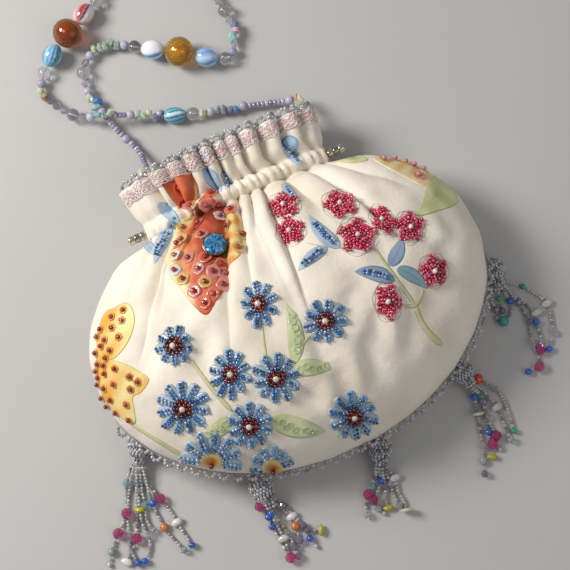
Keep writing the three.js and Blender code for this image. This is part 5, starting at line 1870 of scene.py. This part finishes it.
class BAG_OT_strap_strands(Operator):
    """String the small beads of the strap between the large ones"""
    bl_idname = "bag.strap_strands"
    bl_label = "Small Strap Beads"

    def execute(self, context):
        rng = np.random.default_rng(DRAWS["small beads"])
        settings = context.scene.bag_strap
        path, along = strap_route()
        kinds, stops, scales = small_beads(along[-1])
        centres, axes = on_strap(stops)
        pieces = {}
        for letter, name, template, look, middle, pale in (
                # the seeds' tints pale up to nearly white: partly their own uneven glass, partly painted
                # glints
                ("s", "strap_seeds", SEED, "clear_seeds", settings.lavender, 0.85),
                ("p", "strap_frosted", BALL, "frosted_glass", settings.frosted, 0.25),
                ("g", "strap_clear", BALL, "clear_glass", "f4f4f6", 0.25),
                ("b", "strap_crystals", CRYSTAL, "cut_glass", "e4e2ec", 0.25),
                ("v", "strap_lavender", FACETED, "cut_glass", "cbb8cc", 0.25)):
            on = kinds == letter
            long, wide = SMALL_BEADS[letter]
            tint = vary(rng, on.sum(), middle, 0.35, pale)
            radius = wide or settings.seed / MM
            batch = set_beads(template, centres[on], axes[on], long * scales[on], radius, tint)
            pieces[letter] = batch_piece(name, [batch], look, smooth=letter not in "bv")
        on = np.isin(kinds, list(CHIP_COLOURS))
        chips = stone_chips(kinds[on], centres[on], axes[on], rng)
        batch_piece("strap_chips", [chips], "tumbled_stone", smooth=False)
        thread = tube(path[::3], STRAP_THREAD, shade("dedbe6"))
        batch_piece("strap_thread", [thread], "fine_thread")
        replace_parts(pieces["s"], *("strap_strand_" + name for name in STRAP_NODES))
        return {"FINISHED"}


# Stage

FLOOR_SIZE = 3000.0
FLOOR_DROP = 0.3
FLOOR_CELLS = 3
WARM_WHITE = (1.0, 0.97, 0.93)
COOL_WHITE = (0.93, 0.95, 1.0, 1.0)
# name, place in millimetres, size in millimetres, share of the key power
LIGHTS = (
    ("key_light", (-470.0, 430.0, 520.0), 300.0, 1.0),
    ("side_light", (420.0, -420.0, 620.0), 600.0, 0.16),
)


def floor_material():
    """Pale painted floor with a slow cloudy change of tone."""
    material, tree, shader = new_material("pale_floor", Roughness=0.75)
    tone = np.array(bpy.context.scene.bag_stage.floor)
    place = add_node(tree, "TexCoord")
    cloud = add_node(tree, "Group", node_tree=mottle_group(), Scale=5.0, Low=0.3, High=0.8,
                     Light=solid(tone), Dark=solid(tone * 0.94))
    wire(tree, (place, "Object", cloud, "Vector"), (cloud, "Color", shader, "Base Color"))
    return material


class BAG_OT_stage(Operator):
    """Make the floor, the lights and the camera"""
    bl_idname = "bag.stage"
    bl_label = "Stage"

    def execute(self, context):
        settings = context.scene.bag_stage
        steps = np.linspace(-0.5, 0.5, FLOOR_CELLS) * FLOOR_SIZE
        x, y = np.meshgrid(steps, steps)
        points = np.stack([x.ravel(), y.ravel(), np.full(x.size, -FLOOR_DROP)], axis=1)
        mesh = bpy.data.meshes.new("floor")
        mesh.from_pydata((points * MM).tolist(), [], sheet_faces(FLOOR_CELLS, FLOOR_CELLS).tolist())
        mesh.materials.append(floor_material())
        add_object("floor", mesh)
        for name, place, size, share in LIGHTS:
            lamp = bpy.data.lights.new(name, "AREA")
            lamp.energy = settings.key_power * share
            lamp.size = size * MM
            lamp.color = WARM_WHITE
            add_object(name, lamp).matrix_world = facing(np.array(place), unit(np.array(place) - TARGET))
        world = bpy.data.worlds.new("studio")
        world.use_nodes = True
        light = world.node_tree.nodes["Background"].inputs
        light["Color"].default_value = COOL_WHITE
        light["Strength"].default_value = settings.fill
        context.scene.world = world
        lens = bpy.data.cameras.new("photo_camera")
        lens.sensor_width = SENSOR
        lens.lens = FOCAL_PIXELS * SENSOR / IMAGE_SIZE
        lens.clip_start = 0.01
        context.scene.camera = add_object("photo_camera", lens)
        context.scene.camera.matrix_world = facing(EYE, BACKWARD)
        context.scene.view_settings.view_transform = "Standard"
        return {"FINISHED"}


def facing(place, backward):
    """A placed frame that looks against the backward direction, with its side level."""
    side = unit(np.cross((0.0, 0.0, 1.0), backward))
    turned = np.eye(4)
    turned[:3, :3] = np.stack([side, np.cross(backward, side), backward], axis=1)
    turned[:3, 3] = place * MM
    return Matrix(turned.tolist())


# Add-on

class BAG_PT_sidebar(Panel):
    """Lists the bag's pieces in the 3D view's sidebar"""
    bl_idname = "BAG_PT_sidebar"
    bl_label = "Beaded Bag"
    bl_space_type = "VIEW_3D"
    bl_region_type = "UI"
    bl_category = "Bag"

    def draw(self, context):
        for step in OPERATORS:
            self.layout.operator(step.bl_idname)
        for name in SETTINGS:
            group = getattr(context.scene, name)
            for key in group.__annotations__:
                self.layout.prop(group, key)


SETTINGS = {"bag_cloth": BagClothSettings, "bag_sewn": BagSewnSettings, "bag_trim": BagTrimSettings,
            "bag_strap": BagStrapSettings, "bag_stage": BagStageSettings}
OPERATORS = (BAG_OT_pouch, BAG_OT_painted_leaves, BAG_OT_daisies, BAG_OT_red_flowers, BAG_OT_sequins,
             BAG_OT_leaf_beads, BAG_OT_lace, BAG_OT_picots, BAG_OT_drawstring_beads, BAG_OT_rhinestone,
             BAG_OT_tassels, BAG_OT_strap_beads, BAG_OT_strap_strands, BAG_OT_stage)


def register():
    """Adds the settings, the operators and the panel to Blender."""
    for name, group in SETTINGS.items():
        bpy.utils.register_class(group)
        setattr(bpy.types.Scene, name, PointerProperty(type=group))
    for step in OPERATORS:
        bpy.utils.register_class(step)
    bpy.utils.register_class(BAG_PT_sidebar)


def unregister():
    """Takes them out again."""
    bpy.utils.unregister_class(BAG_PT_sidebar)
    for step in reversed(OPERATORS):
        bpy.utils.unregister_class(step)
    for name, group in SETTINGS.items():
        delattr(bpy.types.Scene, name)
        bpy.utils.unregister_class(group)


def main():
    """Builds the bag."""
    register()
    for step in OPERATORS:
        family, _, action = step.bl_idname.partition(".")
        getattr(getattr(bpy.ops, family), action)()


if __name__ == "__main__":
    main()
